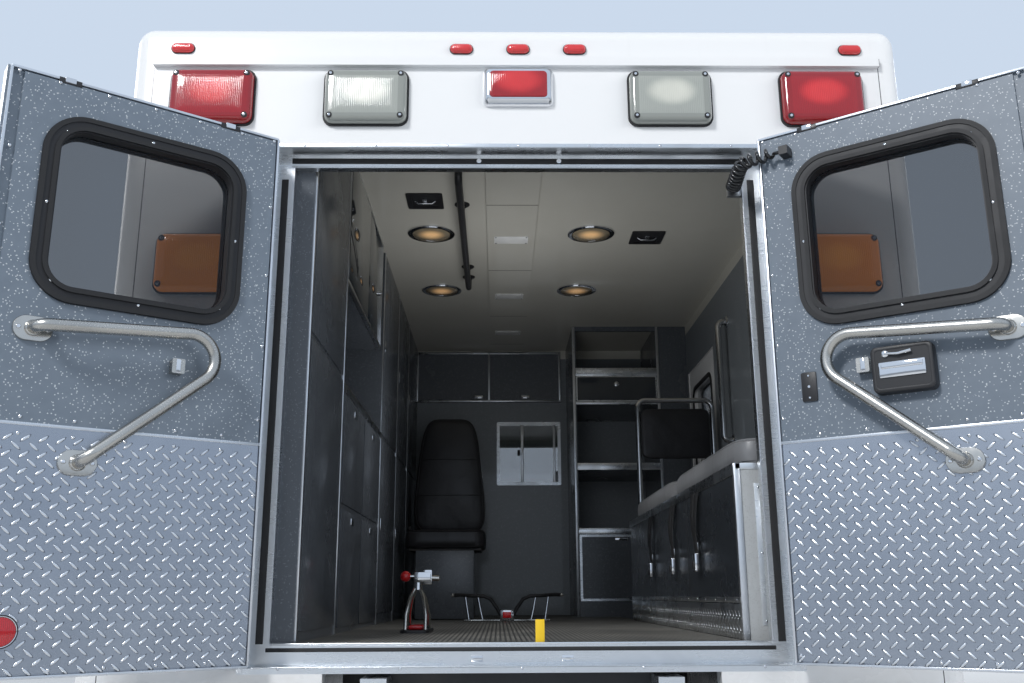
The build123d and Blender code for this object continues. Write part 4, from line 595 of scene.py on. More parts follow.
def rounded(width, height, radius, centre=(0, 0), steps=5):
    """Outline of a rectangle with round corners."""
    outline = []
    for corner, (sx, sy) in enumerate(((1, -1), (1, 1), (-1, 1), (-1, -1))):
        middle_x = centre[0] + sx * (width / 2 - radius)
        middle_y = centre[1] + sy * (height / 2 - radius)
        for step in range(steps + 1):
            angle = (corner - 1 + step / steps) * math.pi / 2
            outline.append((middle_x + radius * math.cos(angle), middle_y + radius * math.sin(angle)))
    return outline


def circle(radius, centre=(0, 0), count=28):
    turns = [2 * math.pi * step / count for step in range(count)]
    return [(centre[0] + radius * math.cos(turn), centre[1] + radius * math.sin(turn)) for turn in turns]


def bridge(form, low, high):
    """Faces between two rings of equal count."""
    for a in range(len(low)):
        b = (a + 1) % len(low)
        form.faces.new((low[a], low[b], high[b], high[a]))


def closed(form, rings):
    """Both ends and the sides of a form through rings. Its upper end is handed back."""
    form.faces.new(rings[0][::-1])
    top = form.faces.new(rings[-1])
    for low, high in zip(rings, rings[1:]):
        bridge(form, low, high)
    return top


class Fitting:
    """One mesh of closed forms. The finish of a form is its number among the finishes given."""

    def __init__(self, name, *finishes):
        self.name = name
        self.finishes = finishes
        self.mesh = bmesh.new()
        self.frame = LEVEL

    def take(self, form, finish, frame=None):
        flat = form.loops.layers.uv.new("flat")
        for face in form.faces:
            face.material_index = finish
            face.smooth = True
            for loop in face.loops:
                loop[flat].uv = loop.vert.co.xy
        form.transform(frame or self.frame)
        step = bpy.data.meshes.new("step")
        form.to_mesh(step)
        form.free()
        self.mesh.from_mesh(step)
        bpy.data.meshes.remove(step)

    def layers(self, outlines, finish=0, frame=None, soften=0.0):
        """A closed form through outlines (points, height) of equal count, with flat ends."""
        form = bmesh.new()
        rings = [[form.verts.new((x, y, z)) for x, y in outline] for outline, z in outlines]
        top = closed(form, rings)
        if soften:
            bmesh.ops.bevel(form, geom=top.edges[:], offset=soften, segments=3, profile=0.5, affect="EDGES")
        self.take(form, finish, frame)

    def stepped(self, size, rows, finish=0, frame=None, centre=(0, 0), shrink=0.0, steps=5):
        """A plate of (width, height, radius) that is drawn in by the first number of each row of
        (inset, height). The radius of its corners shrinks by a share of the inset."""
        width, tall, radius = size
        lines = [(rounded(width - 2 * d, tall - 2 * d, radius - d * shrink, centre, steps), z) for d, z in rows]
        self.layers(lines, finish, frame)

    def prism(self, outline, low, high, finish=0, frame=None, soften=0.0):
        self.layers([(outline, low), (outline, high)], finish, frame, soften)

    def block(self, low, high, finish=0, frame=None, soften=0.0):
        """A box with all its edges rounded."""
        form = bmesh.new()
        bmesh.ops.create_cube(form, size=1.0)
        for vert in form.verts:
            vert.co = Vector(b if c > 0 else a for a, b, c in zip(low, high, vert.co))
        if soften:
            bmesh.ops.bevel(form, geom=form.edges[:], offset=soften, segments=2, profile=0.5, affect="EDGES")
        self.take(form, finish, frame)

    def ring(self, outer, inner, low, high, finish=0, frame=None):
        """A flat frame between two outlines of equal count."""
        form = bmesh.new()
        loops = [[form.verts.new((x, y, z)) for x, y in line] for line, z in
                 ((outer, low), (outer, high), (inner, high), (inner, low))]
        for a in range(len(outer)):
            b = (a + 1) % len(outer)
            for one, two in zip(loops, loops[1:] + loops[:1]):
                form.faces.new((one[a], one[b], two[b], two[a]))
        self.take(form, finish, frame)

    def hollow(self, outer, inner, low, high, finish=0, frame=None, centre=(0, 0), steps=5):
        """A flat frame between two rectangles of (width, height, radius)."""
        self.ring(rounded(*outer, centre, steps), rounded(*inner, centre, steps), low, high, finish, frame)

    def turned(self, profile, centre=(0, 0), finish=0, frame=None, count=24):
        """A turned form: rows of (radius, height) round an axis out of the wall."""
        form = bmesh.new()
        rows = []
        for radius, height in profile:
            if radius == 0:
                rows.append([form.verts.new((*centre, height))])
            else:
                rows.append([form.verts.new((x, y, height)) for x, y in circle(radius, centre, count)])
        for low, high in zip(rows, rows[1:]):
            for a in range(count):
                b = (a + 1) % count
                corners = [low[a % len(low)], low[b % len(low)], high[b % len(high)], high[a % len(high)]]
                corners = [c for i, c in enumerate(corners) if c not in corners[:i]]
                if len(corners) > 2:
                    form.faces.new(corners)
        for row, turned_over in ((rows[0], True), (rows[-1], False)):
            if len(row) > 1:
                form.faces.new(row[::-1] if turned_over else row)
        self.take(form, finish, frame)

    def rod(self, points, radius, finish=0, frame=None, count=12):
        """A round bar along points, with flat ends."""
        form = bmesh.new()
        places = [Vector(p) for p in points]
        side = None
        rings = []
        for i, place in enumerate(places):
            run = (places[min(i + 1, len(places) - 1)] - places[max(i - 1, 0)]).normalized()
            side = run.orthogonal().normalized() if side is None else (side - run * side.dot(run)).normalized()
            rise = run.cross(side)
            wide = radius[i] if isinstance(radius, (list, tuple)) else radius
            rings.append([form.verts.new(place + (side * x + rise * y) * wide)
                          for x, y in circle(1, (0, 0), count)])
        closed(form, rings)
        self.take(form, finish, frame)

    def screw(self, centre, radius=0.0045, height=0.0, finish=0, frame=None):
        """A pan head that stands on the given height."""
        profile = [(radius, height - 0.001), (radius, height + radius * 0.3),
                   (radius * 0.75, height + radius * 0.6)]
        self.turned(profile + [(0, height + radius * 0.7)], centre, finish, frame, 10)

    def piece(self, body, slot, replaced=(), mirrored=False, name=None):
        """The mesh as a piece of the scene that rides on a body, also as its mirror image."""
        mesh = bpy.data.meshes.new(name or self.name)
        bmesh.ops.recalc_face_normals(self.mesh, faces=self.mesh.faces[:])
        if mirrored:
            bmesh.ops.scale(self.mesh, vec=(-1, 1, 1), verts=self.mesh.verts[:])
            bmesh.ops.reverse_faces(self.mesh, faces=self.mesh.faces[:])
        self.mesh.to_mesh(mesh)
        mesh.set_sharp_from_angle(angle=math.radians(40))
        for finish in self.finishes:
            mesh.materials.append(finish)
        return placed(mesh, name or self.name, body, replaced)


def placed(mesh, name, body, replaced=()):
    made = linked(name, mesh)
    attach(made, body)
    if replaced:
        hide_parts(*replaced)
    print(name, len(mesh.polygons), "faces")
    return made


# %% [markdown]
# Screws, tread bars, wheel nuts and tyre lugs repeat by the dozen. A node tree puts one small form on
# every point of a mesh and turns it by the point's own angles, so a new set needs only its places.

# %% Copies of one small form
def copier(kind):
    """A node tree with inputs Spots, Size and Finish that puts one small form on each point."""
    tree = bpy.data.node_groups.new(f"copies_of_{kind}", "GeometryNodeTree")
    face = tree.interface
    face.new_socket("Spots", in_out="INPUT", socket_type="NodeSocketGeometry")
    size = face.new_socket("Size", in_out="INPUT", socket_type="NodeSocketVector")
    finish = face.new_socket("Finish", in_out="INPUT", socket_type="NodeSocketMaterial")
    face.new_socket("Copies", in_out="OUTPUT", socket_type="NodeSocketGeometry")
    new, link = tree.nodes.new, tree.links.new
    given, result = new("NodeGroupInput"), new("NodeGroupOutput")
    if kind == "nut":
        form = new("GeometryNodeMeshCylinder")
        form.inputs["Vertices"].default_value = 6
        form.inputs["Radius"].default_value = 1.0
        form.inputs["Depth"].default_value = 1.0
    elif kind == "lug":
        form = new("GeometryNodeMeshCube")
        form.inputs["Size"].default_value = (2, 2, 2)
    else:
        form = new("GeometryNodeMeshUVSphere")
        form.inputs["Segments"].default_value = 8 if kind == "bar" else 12
        form.inputs["Rings"].default_value = 4 if kind == "bar" else 6
        form.inputs["Radius"].default_value = 1.0
    scaled = new("GeometryNodeTransform")
    soft = new("GeometryNodeSetShadeSmooth")
    soft.inputs["Shade Smooth"].default_value = kind in ("dome", "bar")
    turns = new("GeometryNodeInputNamedAttribute")
    turns.data_type = "FLOAT_VECTOR"
    turns.inputs["Name"].default_value = "turn"
    rotation = new("FunctionNodeEulerToRotation")
    spread = new("GeometryNodeInstanceOnPoints")
    real = new("GeometryNodeRealizeInstances")
    dressed = new("GeometryNodeSetMaterial")
    link(form.outputs["Mesh"], scaled.inputs["Geometry"])
    link(given.outputs["Size"], scaled.inputs["Scale"])
    link(scaled.outputs[0], soft.inputs["Geometry"])
    link(turns.outputs["Attribute"], rotation.inputs[0])
    link(given.outputs["Spots"], spread.inputs["Points"])
    link(soft.outputs[0], spread.inputs["Instance"])
    link(rotation.outputs[0], spread.inputs["Rotation"])
    link(spread.outputs[0], real.inputs[0])
    link(real.outputs[0], dressed.inputs["Geometry"])
    link(given.outputs["Finish"], dressed.inputs["Material"])
    link(dressed.outputs[0], result.inputs[0])
    return tree, size.identifier, finish.identifier


COPIERS = {kind: copier(kind) for kind in ("dome", "bar", "nut", "lug")}


def copies(name, kind, spots, size, finish, body):
    """One mesh with a form on every spot, where a spot is a matrix."""
    mesh = bpy.data.meshes.new(name)
    mesh.from_pydata([spot.translation for spot in spots], [], [])
    turn = mesh.attributes.new("turn", "FLOAT_VECTOR", "POINT")
    for i, spot in enumerate(spots):
        turn.data[i].vector = spot.to_euler()
    made = linked(name, mesh)
    tree, size_key, finish_key = COPIERS[kind]
    steps = made.modifiers.new("copies", "NODES")
    steps.node_group = tree
    steps[size_key] = size
    steps[finish_key] = finish
    bpy.context.view_layer.update()
    full = bpy.data.meshes.new_from_object(made.evaluated_get(bpy.context.evaluated_depsgraph_get()))
    bpy.data.objects.remove(made)
    full.name = name
    return placed(full, name, body)


def spot(frame, x, y, z=0.0, angle=0.0):
    return frame @ Matrix.Translation((x, y, z)) @ Matrix.Rotation(angle, 4, "Z")


def mirror_spot(one):
    """The same spot on the other side of the middle plane."""
    flip = Matrix.Diagonal((-1, 1, 1, 1))
    return flip @ one @ flip


def leaf_copies(name, kind, spots, size, finish):
    """Copies on the right leaf, and their mirror image on the left one."""
    for word, places in (("right", spots), ("left", [mirror_spot(one) for one in spots])):
        copies(f"{name}_{word}", kind, places, size, finish, f"rear_door_{word}")


print("node trees:", [tree[0].name for tree in COPIERS.values()])

# %% [markdown]
# ## Warning lamps
# Each lamp is a fluted lens over its whole face, with a screw sunk in each corner and a black gasket
# behind. The clear ones show the rim of their bowl through the lens. The bright middle of each lens is a
# painted reflection of its bowl, with a painted glint, and the amber lenses carry a painted glow. The lens
# finish reads the flat measures of the fitting, so its flutes and its bowl sit right on every wall.

# %% Lens finish with its bowl
BOWL = (0.075, 0.046)
BOWL_LIFT = 0.012
BOWL_FLUTE_STEP = 0.0058
# A painted glow: the amber lenses give off light to stand in for daylight through them, not for a lamp that is
# switched on.
AMBER_GLOW = (1.0, 0.36, 0.02, 1.0)


def bowl_lens(name, colour, deep, glint, border, lit=0.0):
    """A fluted lens with its middle painted bright as a painted reflection of its bowl, a painted glint there
    and a darker rim. Only the amber one has a painted glow.
    """
    moulding = Finish(name)
    across, upward = moulding.flat()
    flutes = (across * (2 * math.pi / BOWL_FLUTE_STEP)).sine()
    rim = abs(across).rise(0.099, 0.103).most(abs(upward).rise(0.062, 0.066))
    lifted = upward - BOWL_LIFT
    spread = (across * across) / (BOWL[0] * BOWL[0]) + (lifted * lifted) / (BOWL[1] * BOWL[1])
    # The bowl mask paints the middle of the lens bright: a painted reflection of the reflector bowl behind it.
    bowl = (1 - spread.rise(0.1, 1.5)) * (1 - rim)
    patch = moulding.noise(11, 2).rise(0.35, 0.7)
    shade = moulding.mix(bowl * (0.55 + 0.45 * patch) + flutes * 0.07 * (1 - rim), deep, colour)
    # glint is a painted highlight over the middle of the bowl.
    shade = moulding.mix(bowl * bowl * 0.5, shade, glint)
    shade = moulding.mix(rim * border, shade, tuple(c * 0.62 for c in deep))
    relief = moulding.bump(flutes * (1 - rim), 0.0005, 0.4)
    return moulding.done(
        moulding.shader(shade, 0.0, 0.12, relief, Coat_Weight=0.8, Coat_Roughness=0.04, IOR=1.49,
                        Emission_Color=AMBER_GLOW, Emission_Strength=lit)
    )


red_bowl = bowl_lens("red_lamp_lens", (0.62, 0.010, 0.016), (0.33, 0.003, 0.008), (0.80, 0.05, 0.05), 0.3)
amber_bowl = bowl_lens("amber_lamp_lens", (0.86, 0.27, 0.010), (0.62, 0.16, 0.004),
                       # The last number is the strength of the painted glow.
                       (0.98, 0.44, 0.05), 0.2, 0.35)
clear_bowl = bowl_lens("clear_lamp_lens", (0.60, 0.61, 0.54), (0.36, 0.38, 0.35), (0.74, 0.74, 0.66), 0.55)
print("lamp lenses:", red_bowl.name, amber_bowl.name, clear_bowl.name)

# %% Lamps
LAMP = (0.266, 0.19)
LAMP_SCREW = 0.024
WARNING, AMBER_WARNING, MARKER = FLOOR + 1.636, FLOOR + 1.09, FLOOR + 1.81
OUTER_LAMP, INNER_LAMP = 0.955, 0.476
RED_SIDES = (REAR + 0.26, FRONT - 0.26)
CLEAR_SIDES = (REAR + 1.33, REAR + 2.76)
MARKER_PLACES = (-1.06, -0.18, 0, 0.18, 1.06)
HEADLAMP_PLACES = (-0.7375, 0.7375)


def warning_lamp(lamps, wall, along, height):
    """Gasket, domed lens and four sunk screws."""
    here = wall @ Matrix.Translation((along, height, 0))
    width, tall = LAMP
    lamps.prism(rounded(width, tall, 0.030), 0, 0.0085, 1, here)
    lamps.stepped((width - 0.010, tall - 0.010, 0.026),
                  ((0.0, 0.0085), (0.002, 0.022), (0.007, 0.030), (0.016, 0.0335), (0.05, 0.034)), 0,
                  here, shrink=0.5)
    for sx, sy in CORNERS:
        corner = (sx * (width / 2 - LAMP_SCREW), sy * (tall / 2 - LAMP_SCREW))
        lamps.turned([(0.0095, 0.030), (0.0095, 0.0336), (0.0075, 0.0342), (0.0070, 0.0338)],
                     corner, 1, here, 16)
        lamps.screw(corner, 0.0052, 0.0335, 2, here)


def marker_lamp(lamps, wall, along, height):
    """A small oval lens on a dark base, with three facets."""
    here = wall @ Matrix.Translation((along, height, 0))
    lamps.prism(rounded(0.075, 0.036, 0.0175, steps=7), 0, 0.004, 1, here)
    lamps.stepped((0.071, 0.032, 0.0155), ((0, 0.004), (0.0015, 0.010), (0.007, 0.0150), (0.012, 0.0158)), 0,
                  here, shrink=1.0, steps=7)


def round_lamp(lamps, along):
    """A round lamp in a rubber grommet."""
    here = BACK @ Matrix.Translation((along, 0.632, 0))
    lamps.turned([(0.052, 0), (0.052, 0.008), (0.047, 0.013), (0.043, 0.010)], (0, 0), 1, here, 32)
    lamps.turned([(0.043, 0.004), (0.043, 0.0125), (0.036, 0.0155), (0, 0.0158)], (0, 0), 0, here, 32)


def brake_lamp(lamps):
    """A smaller lens in a sloped chrome bezel over the doorway."""
    here = BACK @ Matrix.Translation((0, FLOOR + 1.673, 0))
    lamps.stepped((0.220, 0.130, 0.016), ((0, 0), (0.001, 0.009), (0.012, 0.027), (0.0165, 0.0285)), 2, here)
    lamps.stepped((0.182, 0.092, 0.012), ((0, 0.026), (0.002, 0.0325), (0.006, 0.034)), 0, here)


red = Fitting("red_lamp_set", red_bowl, black_rubber, chrome)
for wall, places in ((BACK, (-OUTER_LAMP, OUTER_LAMP)),
                     (NOSE_WALL, (-OUTER_LAMP, -INNER_LAMP, INNER_LAMP, OUTER_LAMP)),
                     (LEFT, [-y for y in RED_SIDES]), (RIGHT, RED_SIDES)):
    for along in places:
        warning_lamp(red, wall, along, WARNING)
brake_lamp(red)
for along in MARKER_PLACES:
    marker_lamp(red, BACK, along, MARKER)
for along in (-1.04, 1.04):
    round_lamp(red, along)
red.piece("vehicle", "red_lens", ["red_lamps"])

amber = Fitting("amber_lamp_set", amber_bowl, black_rubber, chrome)
for along in (-OUTER_LAMP, OUTER_LAMP):
    warning_lamp(amber, BACK, along, AMBER_WARNING)
for along in MARKER_PLACES:
    marker_lamp(amber, NOSE_WALL, along, MARKER)
for along in (-0.9, 0.9):
    round_lamp(amber, along)
nose_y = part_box("amber_lamps")[1].y - 0.014
for x in HEADLAMP_PLACES:
    here = wall_frame((x, nose_y, 0.72), (-1, 0, 0))
    amber.stepped((0.225, 0.08, 0.012), ((0, 0), (0, 0.009), (0.003, 0.014)), 0, here)
amber.piece("vehicle", "amber_lens", ["amber_lamps"])

clear = Fitting("clear_lamp_set", clear_bowl, black_rubber, chrome, clear_lens)
for wall, places in ((BACK, (-INNER_LAMP, INNER_LAMP)), (NOSE_WALL, (0,)),
                     (LEFT, [-y for y in CLEAR_SIDES]), (RIGHT, CLEAR_SIDES)):
    for along in places:
        warning_lamp(clear, wall, along, WARNING)
for along in (-0.76, 0.76):
    round_lamp(clear, along)
for x in HEADLAMP_PLACES:
    here = wall_frame((x, nose_y, 0.8875), (-1, 0, 0))
    clear.layers([(rounded(0.222, 0.172, 0.02), -0.042), (rounded(0.222, 0.172, 0.02), -0.010),
                  (rounded(0.206, 0.156, 0.016), -0.005)], 3, here)
    clear.turned([(0.062, -0.008), (0.060, -0.003), (0.050, -0.0045), (0, -0.0045)], (0.03, 0), 2, here, 32)
clear.piece("vehicle", "clear_lens", ["clear_lamps"])

# %% [markdown]
# ## Rear door frame
# The frame is an aluminium extrusion: an outer strip flush with the wall, a step with a thin black seal
# that the shut leaves stop just short of, and a second step into the room. A bright strip runs down each
# side. Two flat chrome buttons in the header and two in the sill stand for the pins of the catches.

# %% Steps, seal, strips and buttons of the door frame
FRAME = Fitting("door_frame_trim", aluminium, black_rubber, chrome, level_aluminium)
SEAL = -0.0594
STRIP = 0.7645
for side in (-1, 1):
    jamb = wall_frame((side * 0.7285, REAR, FLOOR + 0.70), (1, 0, 0))
    FRAME.block((-0.0105, -0.70, -0.0632), (0.0105, 0.69, SEAL), 1, jamb, 0.0012)
    FRAME.block((-0.0285, -0.695, -0.0625), (-0.0245, 0.69, SEAL), 0, jamb, 0.0008)
    edge = wall_frame((side * STRIP, REAR, FLOOR + 0.705), (1, 0, 0))
    FRAME.block((-0.0075, -0.775, -0.001), (0.0075, 0.775, 0.0022), 0, edge, 0.0008)
header = wall_frame((0, REAR, FLOOR + 1.4555), (1, 0, 0))
FRAME.block((-0.71, -0.0120, -0.0632), (0.71, 0.0060, SEAL), 1, header, 0.0012)
FRAME.block((-0.71, -0.0235, -0.0625), (0.71, -0.0195, SEAL), 3, header, 0.0008)
FRAME.block((-0.755, 0.0140, -0.001), (0.755, 0.0270, 0.0026), 3, header, 0.001)
sill = wall_frame((0, REAR, FLOOR - 0.0305), (1, 0, 0))
FRAME.block((-0.735, -0.0290, -0.056), (0.735, -0.0262, 0.0015), 3, sill, 0.001)
FRAME.block((-0.70, 0.0255, -0.0935), (0.70, 0.0325, -0.0605), 3, sill, 0.002)
FRAME.block((-0.71, 0.0090, -0.0632), (0.71, 0.0200, SEAL), 1, sill, 0.0012)
for x in (-0.124, 0.128):
    for frame_part, low in ((header, -0.006), (sill, -0.0145)):
        FRAME.block((x - 0.016, low - 0.004, -0.0632), (x + 0.016, low + 0.012, SEAL - 0.0004), 2,
                    frame_part, 0.001)
        button = [(0.0075, -0.062), (0.0075, SEAL), (0.005, SEAL + 0.0003), (0, SEAL + 0.0003)]
        FRAME.turned(button, (x, low + 0.004), 2, frame_part, 16)
FRAME.piece("vehicle", "bright_aluminium")

screws = [spot(BACK, side * STRIP, FLOOR - 0.05 + 0.15 * i, 0.0022) for side in (-1, 1) for i in range(11)]
screws += [spot(BACK, -0.66 + 0.22 * i, FLOOR + 1.476, 0.0024) for i in range(7)]
screws += [spot(BACK, -0.66 + 0.33 * i, FLOOR - 0.062, 0.0004) for i in range(5)]
copies("frame_screws", "dome", screws, (0.0042, 0.0042, 0.0022), chrome, "vehicle")

# %% [markdown]
# ## Tread plate on the leaves
# Tread plate carries two sets of small raised bars, each on a square lattice of 40 mm. The second set is
# shifted by half a step and lies the other way, so every bar points at the gap between two others. The
# leaf and its left-hand twin get the same table of places, mirrored.

# %% Tread bars
BAR = (0.0155, 0.0040, 0.0019)
STEP = 0.040


def tread_spots(frame, x_range, y_range, lift):
    """Both lattices of bars inside a rectangle of the frame."""
    found = []
    for shift, angle in ((0.0, 0.70), (STEP / 2, -0.70)):
        y = y_range[0] + shift + 0.008
        while y < y_range[1] - 0.008:
            x = x_range[0] + shift + 0.010
            while x < x_range[1] - 0.008:
                found.append(spot(frame, x, y, lift, angle))
                x += STEP
            y += STEP
    return found


leaf_spots = tread_spots(leaf_frame, (0.016, 0.732), (-0.046, 0.529), LEAF_SKIN)
# These bars take the leaf finish, which paints their tops near-white as a painted highlight.
leaf_copies("tread_bars", "bar", leaf_spots, BAR, leaf.material)

# %% Screws round the skins
PANE_MIDDLE = (0.375, 1.108)
rim_spots = [spot(leaf_frame, x, -0.03 + 0.2115 * i, LEAF_SKIN) for x in (0.024, 0.724) for i in range(8)]
rim_spots += [spot(leaf_frame, 0.124 + 0.125 * i, z, LEAF_SKIN)
              for i in range(5) for z in (-0.037, 0.512, 0.553, 1.447)]
for reach, angles in ((0.985, (0.0, math.pi / 2, math.pi, -math.pi / 2)),
                      (1.22, (0.785, 2.356, -0.785, -2.356))):
    rim_spots += [spot(leaf_frame, PANE_MIDDLE[0] + 0.253 * math.cos(angle) * reach,
                       PANE_MIDDLE[1] + 0.237 * math.sin(angle) * reach, LEAF_SKIN + 0.0072)
                  for angle in angles]
leaf_copies("leaf_screws", "dome", rim_spots, (0.0050, 0.0050, 0.0030), chrome)

# %% [markdown]
# ## Fittings of the leaves
# The free edge and the skins end in thin bright trims, and the window's gasket has an inner step. The
# grab rail stands on two oval flanges. Only the right leaf has the black latch with its chrome paddle, a
# small lever and a switch plate. The reflectors low down are red.

# %% Trims, latch and flanges
REFLECTOR = (0.612, 0.052)
LATCH = (0.365, 0.700)


def on_leaf(*rows):
    """Rows of (inset or radius, height), with the heights counted from the leaf's skin."""
    return [(reach, LEAF_SKIN + height) for reach, height in rows]


def leaf_trim():
    """What both leaves have."""
    trim = Fitting("leaf_trim", aluminium, black_rubber, chrome, black_plastic, red_lens, stainless)
    trim.frame = leaf_frame
    near, far, low, high = 0.0105, 0.742, -0.0510, 1.4600
    for x in (near, far):
        trim.block((x - 0.0035, low, LEAF_SKIN - 0.0105), (x + 0.0035, high, LEAF_SKIN + 0.0012), 0,
                   None, 0.0008)
    for z in (low, high):
        trim.block((near, z - 0.0035, LEAF_SKIN - 0.0105), (far, z + 0.0035, LEAF_SKIN + 0.0012), 0,
                   None, 0.0008)
    trim.block((near + 0.003, SPLIT - 0.0040, LEAF_SKIN - 0.002),
               (far - 0.003, SPLIT + 0.0040, LEAF_SKIN + 0.0016), 0, None, 0.0008)
    for outer, inner, low, high in (((0.546, 0.514, 0.108), (0.520, 0.488, 0.095), -0.0005, 0.0095),
                                    ((0.490, 0.458, 0.082), (0.468, 0.436, 0.072), 0.0046, 0.0125)):
        trim.hollow(outer, inner, LEAF_SKIN + low, LEAF_SKIN + high, 1, None, PANE_MIDDLE, 8)
    for at in ((0.620, 0.773), (0.484, 0.450)):
        flange = on_leaf((0, 0), (0, 0.0055), (0.0015, 0.0075), (0.012, 0.0085))
        trim.stepped((0.094, 0.064, 0.0318), flange, 5, None, at, 1.0, 7)
        for sx in (-1, 1):
            trim.screw((at[0] + sx * 0.034, at[1]), 0.0062, LEAF_SKIN + 0.0075, 2)
        trim.turned(on_leaf((0.0215, 0.006), (0.0205, 0.0125), (0.0165, 0.0165)), at, 5)
    trim.block((0.246, 0.703, LEAF_SKIN), (0.278, 0.741, LEAF_SKIN + 0.004), 2, None, 0.0012)
    trim.block((0.2555, 0.703, LEAF_SKIN + 0.003), (0.2685, 0.741, LEAF_SKIN + 0.027), 2, None, 0.002)
    for z in (0.709, 0.735):
        trim.screw((0.250, z), 0.0034, LEAF_SKIN + 0.0038, 2)
    for finish, bowl in ((2, ((0.0383, 0), (0.0383, 0.006), (0.0350, 0.0095), (0.0320, 0.0085))),
                         (4, ((0.0325, 0.004), (0.0325, 0.0092), (0.026, 0.0105), (0, 0.0108)))):
        trim.turned(on_leaf(*bowl), REFLECTOR, finish, None, 32)
    for x in (0.16, 0.60):
        trim.block((x - 0.030, 1.448, LEAF_SKIN - 0.03), (x + 0.030, 1.4655, LEAF_SKIN + 0.0018),
                   3, None, 0.003)
        trim.block((x - 0.014, 1.452, LEAF_SKIN - 0.02), (x + 0.014, 1.4675, LEAF_SKIN + 0.0040),
                   2, None, 0.002)
    return trim


left_trim = leaf_trim()
left_trim.piece("rear_door_left", "chrome", mirrored=True, name="leaf_trim_left")

right_trim = leaf_trim()
housing = on_leaf((0, 0), (0, 0.028), (0.002, 0.034), (0.006, 0.0358), (0.011, 0.0350), (0.014, 0.0285),
                  (0.015, 0.0280))
right_trim.stepped((0.159, 0.126, 0.016), housing, 3, None, LATCH, 0.6)
right_trim.block((0.305, 0.676, LEAF_SKIN + 0.025), (0.424, 0.719, LEAF_SKIN + 0.0385), 2, None, 0.004)
right_trim.block((0.312, 0.700, LEAF_SKIN + 0.034), (0.418, 0.716, LEAF_SKIN + 0.0425), 2, None, 0.003)
right_trim.turned(on_leaf((0.0095, 0.027), (0.0095, 0.039), (0.007, 0.041), (0, 0.041)), (0.325, 0.741), 2)
lever = [(x, z, LEAF_SKIN + lift)
         for x, z, lift in ((0.325, 0.741, 0.040), (0.358, 0.737, 0.043), (0.392, 0.742, 0.042))]
right_trim.rod(lever, [0.0036, 0.004, 0.0052], 2)
for x, z in ((0.298, 0.650), (0.432, 0.650), (0.432, 0.750), (0.298, 0.750)):
    right_trim.screw((x, z), 0.0042, LEAF_SKIN + 0.028, 2)
right_trim.prism(rounded(0.042, 0.082, 0.004, (0.107, 0.685)), LEAF_SKIN, LEAF_SKIN + 0.0055, 3, None, 0.0015)
for z in (0.654, 0.685, 0.716):
    right_trim.screw((0.107, z), 0.0048 if z == 0.685 else 0.0035, LEAF_SKIN + 0.005, 2)
right_trim.piece("rear_door_right", "chrome", name="leaf_trim_right")

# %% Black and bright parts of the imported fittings
def fitting_finish(name):
    """The rail is brushed steel. The latch housing and the lead's socket are black, the bracket bright."""
    metal = Finish(name)
    along, out = leaf_axes(metal)
    height = metal.z - FLOOR
    housing = (abs(along - LATCH[0]) < 0.085) * (abs(height - LATCH[1]) < 0.068) * (out < LEAF_SKIN + 0.0345)
    housing = housing * (metal.x > 0)
    socket = (along < 0.125) * (height > 1.3)
    dark = housing.most(socket).most((abs(along - REFLECTOR[0]) < 0.04) * (height < 0.1))
    lines = metal.noise(240, 2)
    shade = metal.mix(metal.noise(8, 4).rise(0.4, 0.7) * 0.5, (0.56, 0.54, 0.50), (0.42, 0.41, 0.39))
    shade = metal.mix(dark, shade, (0.018, 0.018, 0.02))
    rough = 0.26 + dark * 0.1 + (lines - 0.5) * 0.1
    return metal.done(metal.shader(shade, 1 - dark, rough, metal.bump(lines, 0.00005, 0.4)))


dress(fitting_finish("leaf_fittings"), "rear_door_fittings_left", "rear_door_fittings_right")
print("leaf fittings dressed")

# %% [markdown]
# ## Coiled lead
# The wiring of the right-hand leaf crosses from the jamb in a coiled lead. Its line is one smooth curve
# through the few points of the route, from the socket on the jamb to the socket on the leaf. The coil
# winds round that line: tight turns near the jamb, then looser ones towards the leaf, as on the real one.

# %% Route and coil of the lead
lead_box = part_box("door_lead")
COIL_OUT = 0.050
WIRE = 0.0110
jamb_end = Vector((0.671, lead_box[1].y, FLOOR + 1.354))
leaf_out = LEAF_SKIN + 0.029
leaf_end = leaf_frame @ Vector((0.085, 1.390, leaf_out))
bend_at = leaf_end - ALONG * ((leaf_end.x - jamb_end.x) / ALONG.x)
route_points = [jamb_end, jamb_end.lerp(bend_at, 0.45), jamb_end.lerp(bend_at, 0.90),
                bend_at.lerp(leaf_end, 0.18), bend_at.lerp(leaf_end, 0.6), leaf_end]


def smooth_curve(name, points, resolution):
    """A smooth curve that starts and ends at its first and last point."""
    curve = bpy.data.curves.new(name, "CURVE")
    curve.dimensions = "3D"
    line = curve.splines.new("NURBS")
    line.points.add(len(points) - 1)
    for point, place in zip(line.points, points):
        point.co = (*place, 1)
    line.order_u = 3
    line.use_endpoint_u = True
    line.resolution_u = resolution
    return curve


def mesh_of(name, curve):
    holder = linked(name, curve)
    bpy.context.view_layer.update()
    mesh = bpy.data.meshes.new_from_object(holder)
    bpy.data.objects.remove(holder)
    return mesh


lead_line = [vert.co.copy()
             for vert in mesh_of("lead_route", smooth_curve("lead_route", route_points, 24)).vertices]
runs = [0.0]
for one, two in zip(lead_line, lead_line[1:]):
    runs.append(runs[-1] + (two - one).length)
LEAD_LENGTH = runs[-1]


def turned_on(across, heading):
    """A direction across a line, carried on from the last one so that it doesn't twist."""
    across = heading.orthogonal() if across is None else across - heading * across.dot(heading)
    return across.normalized()


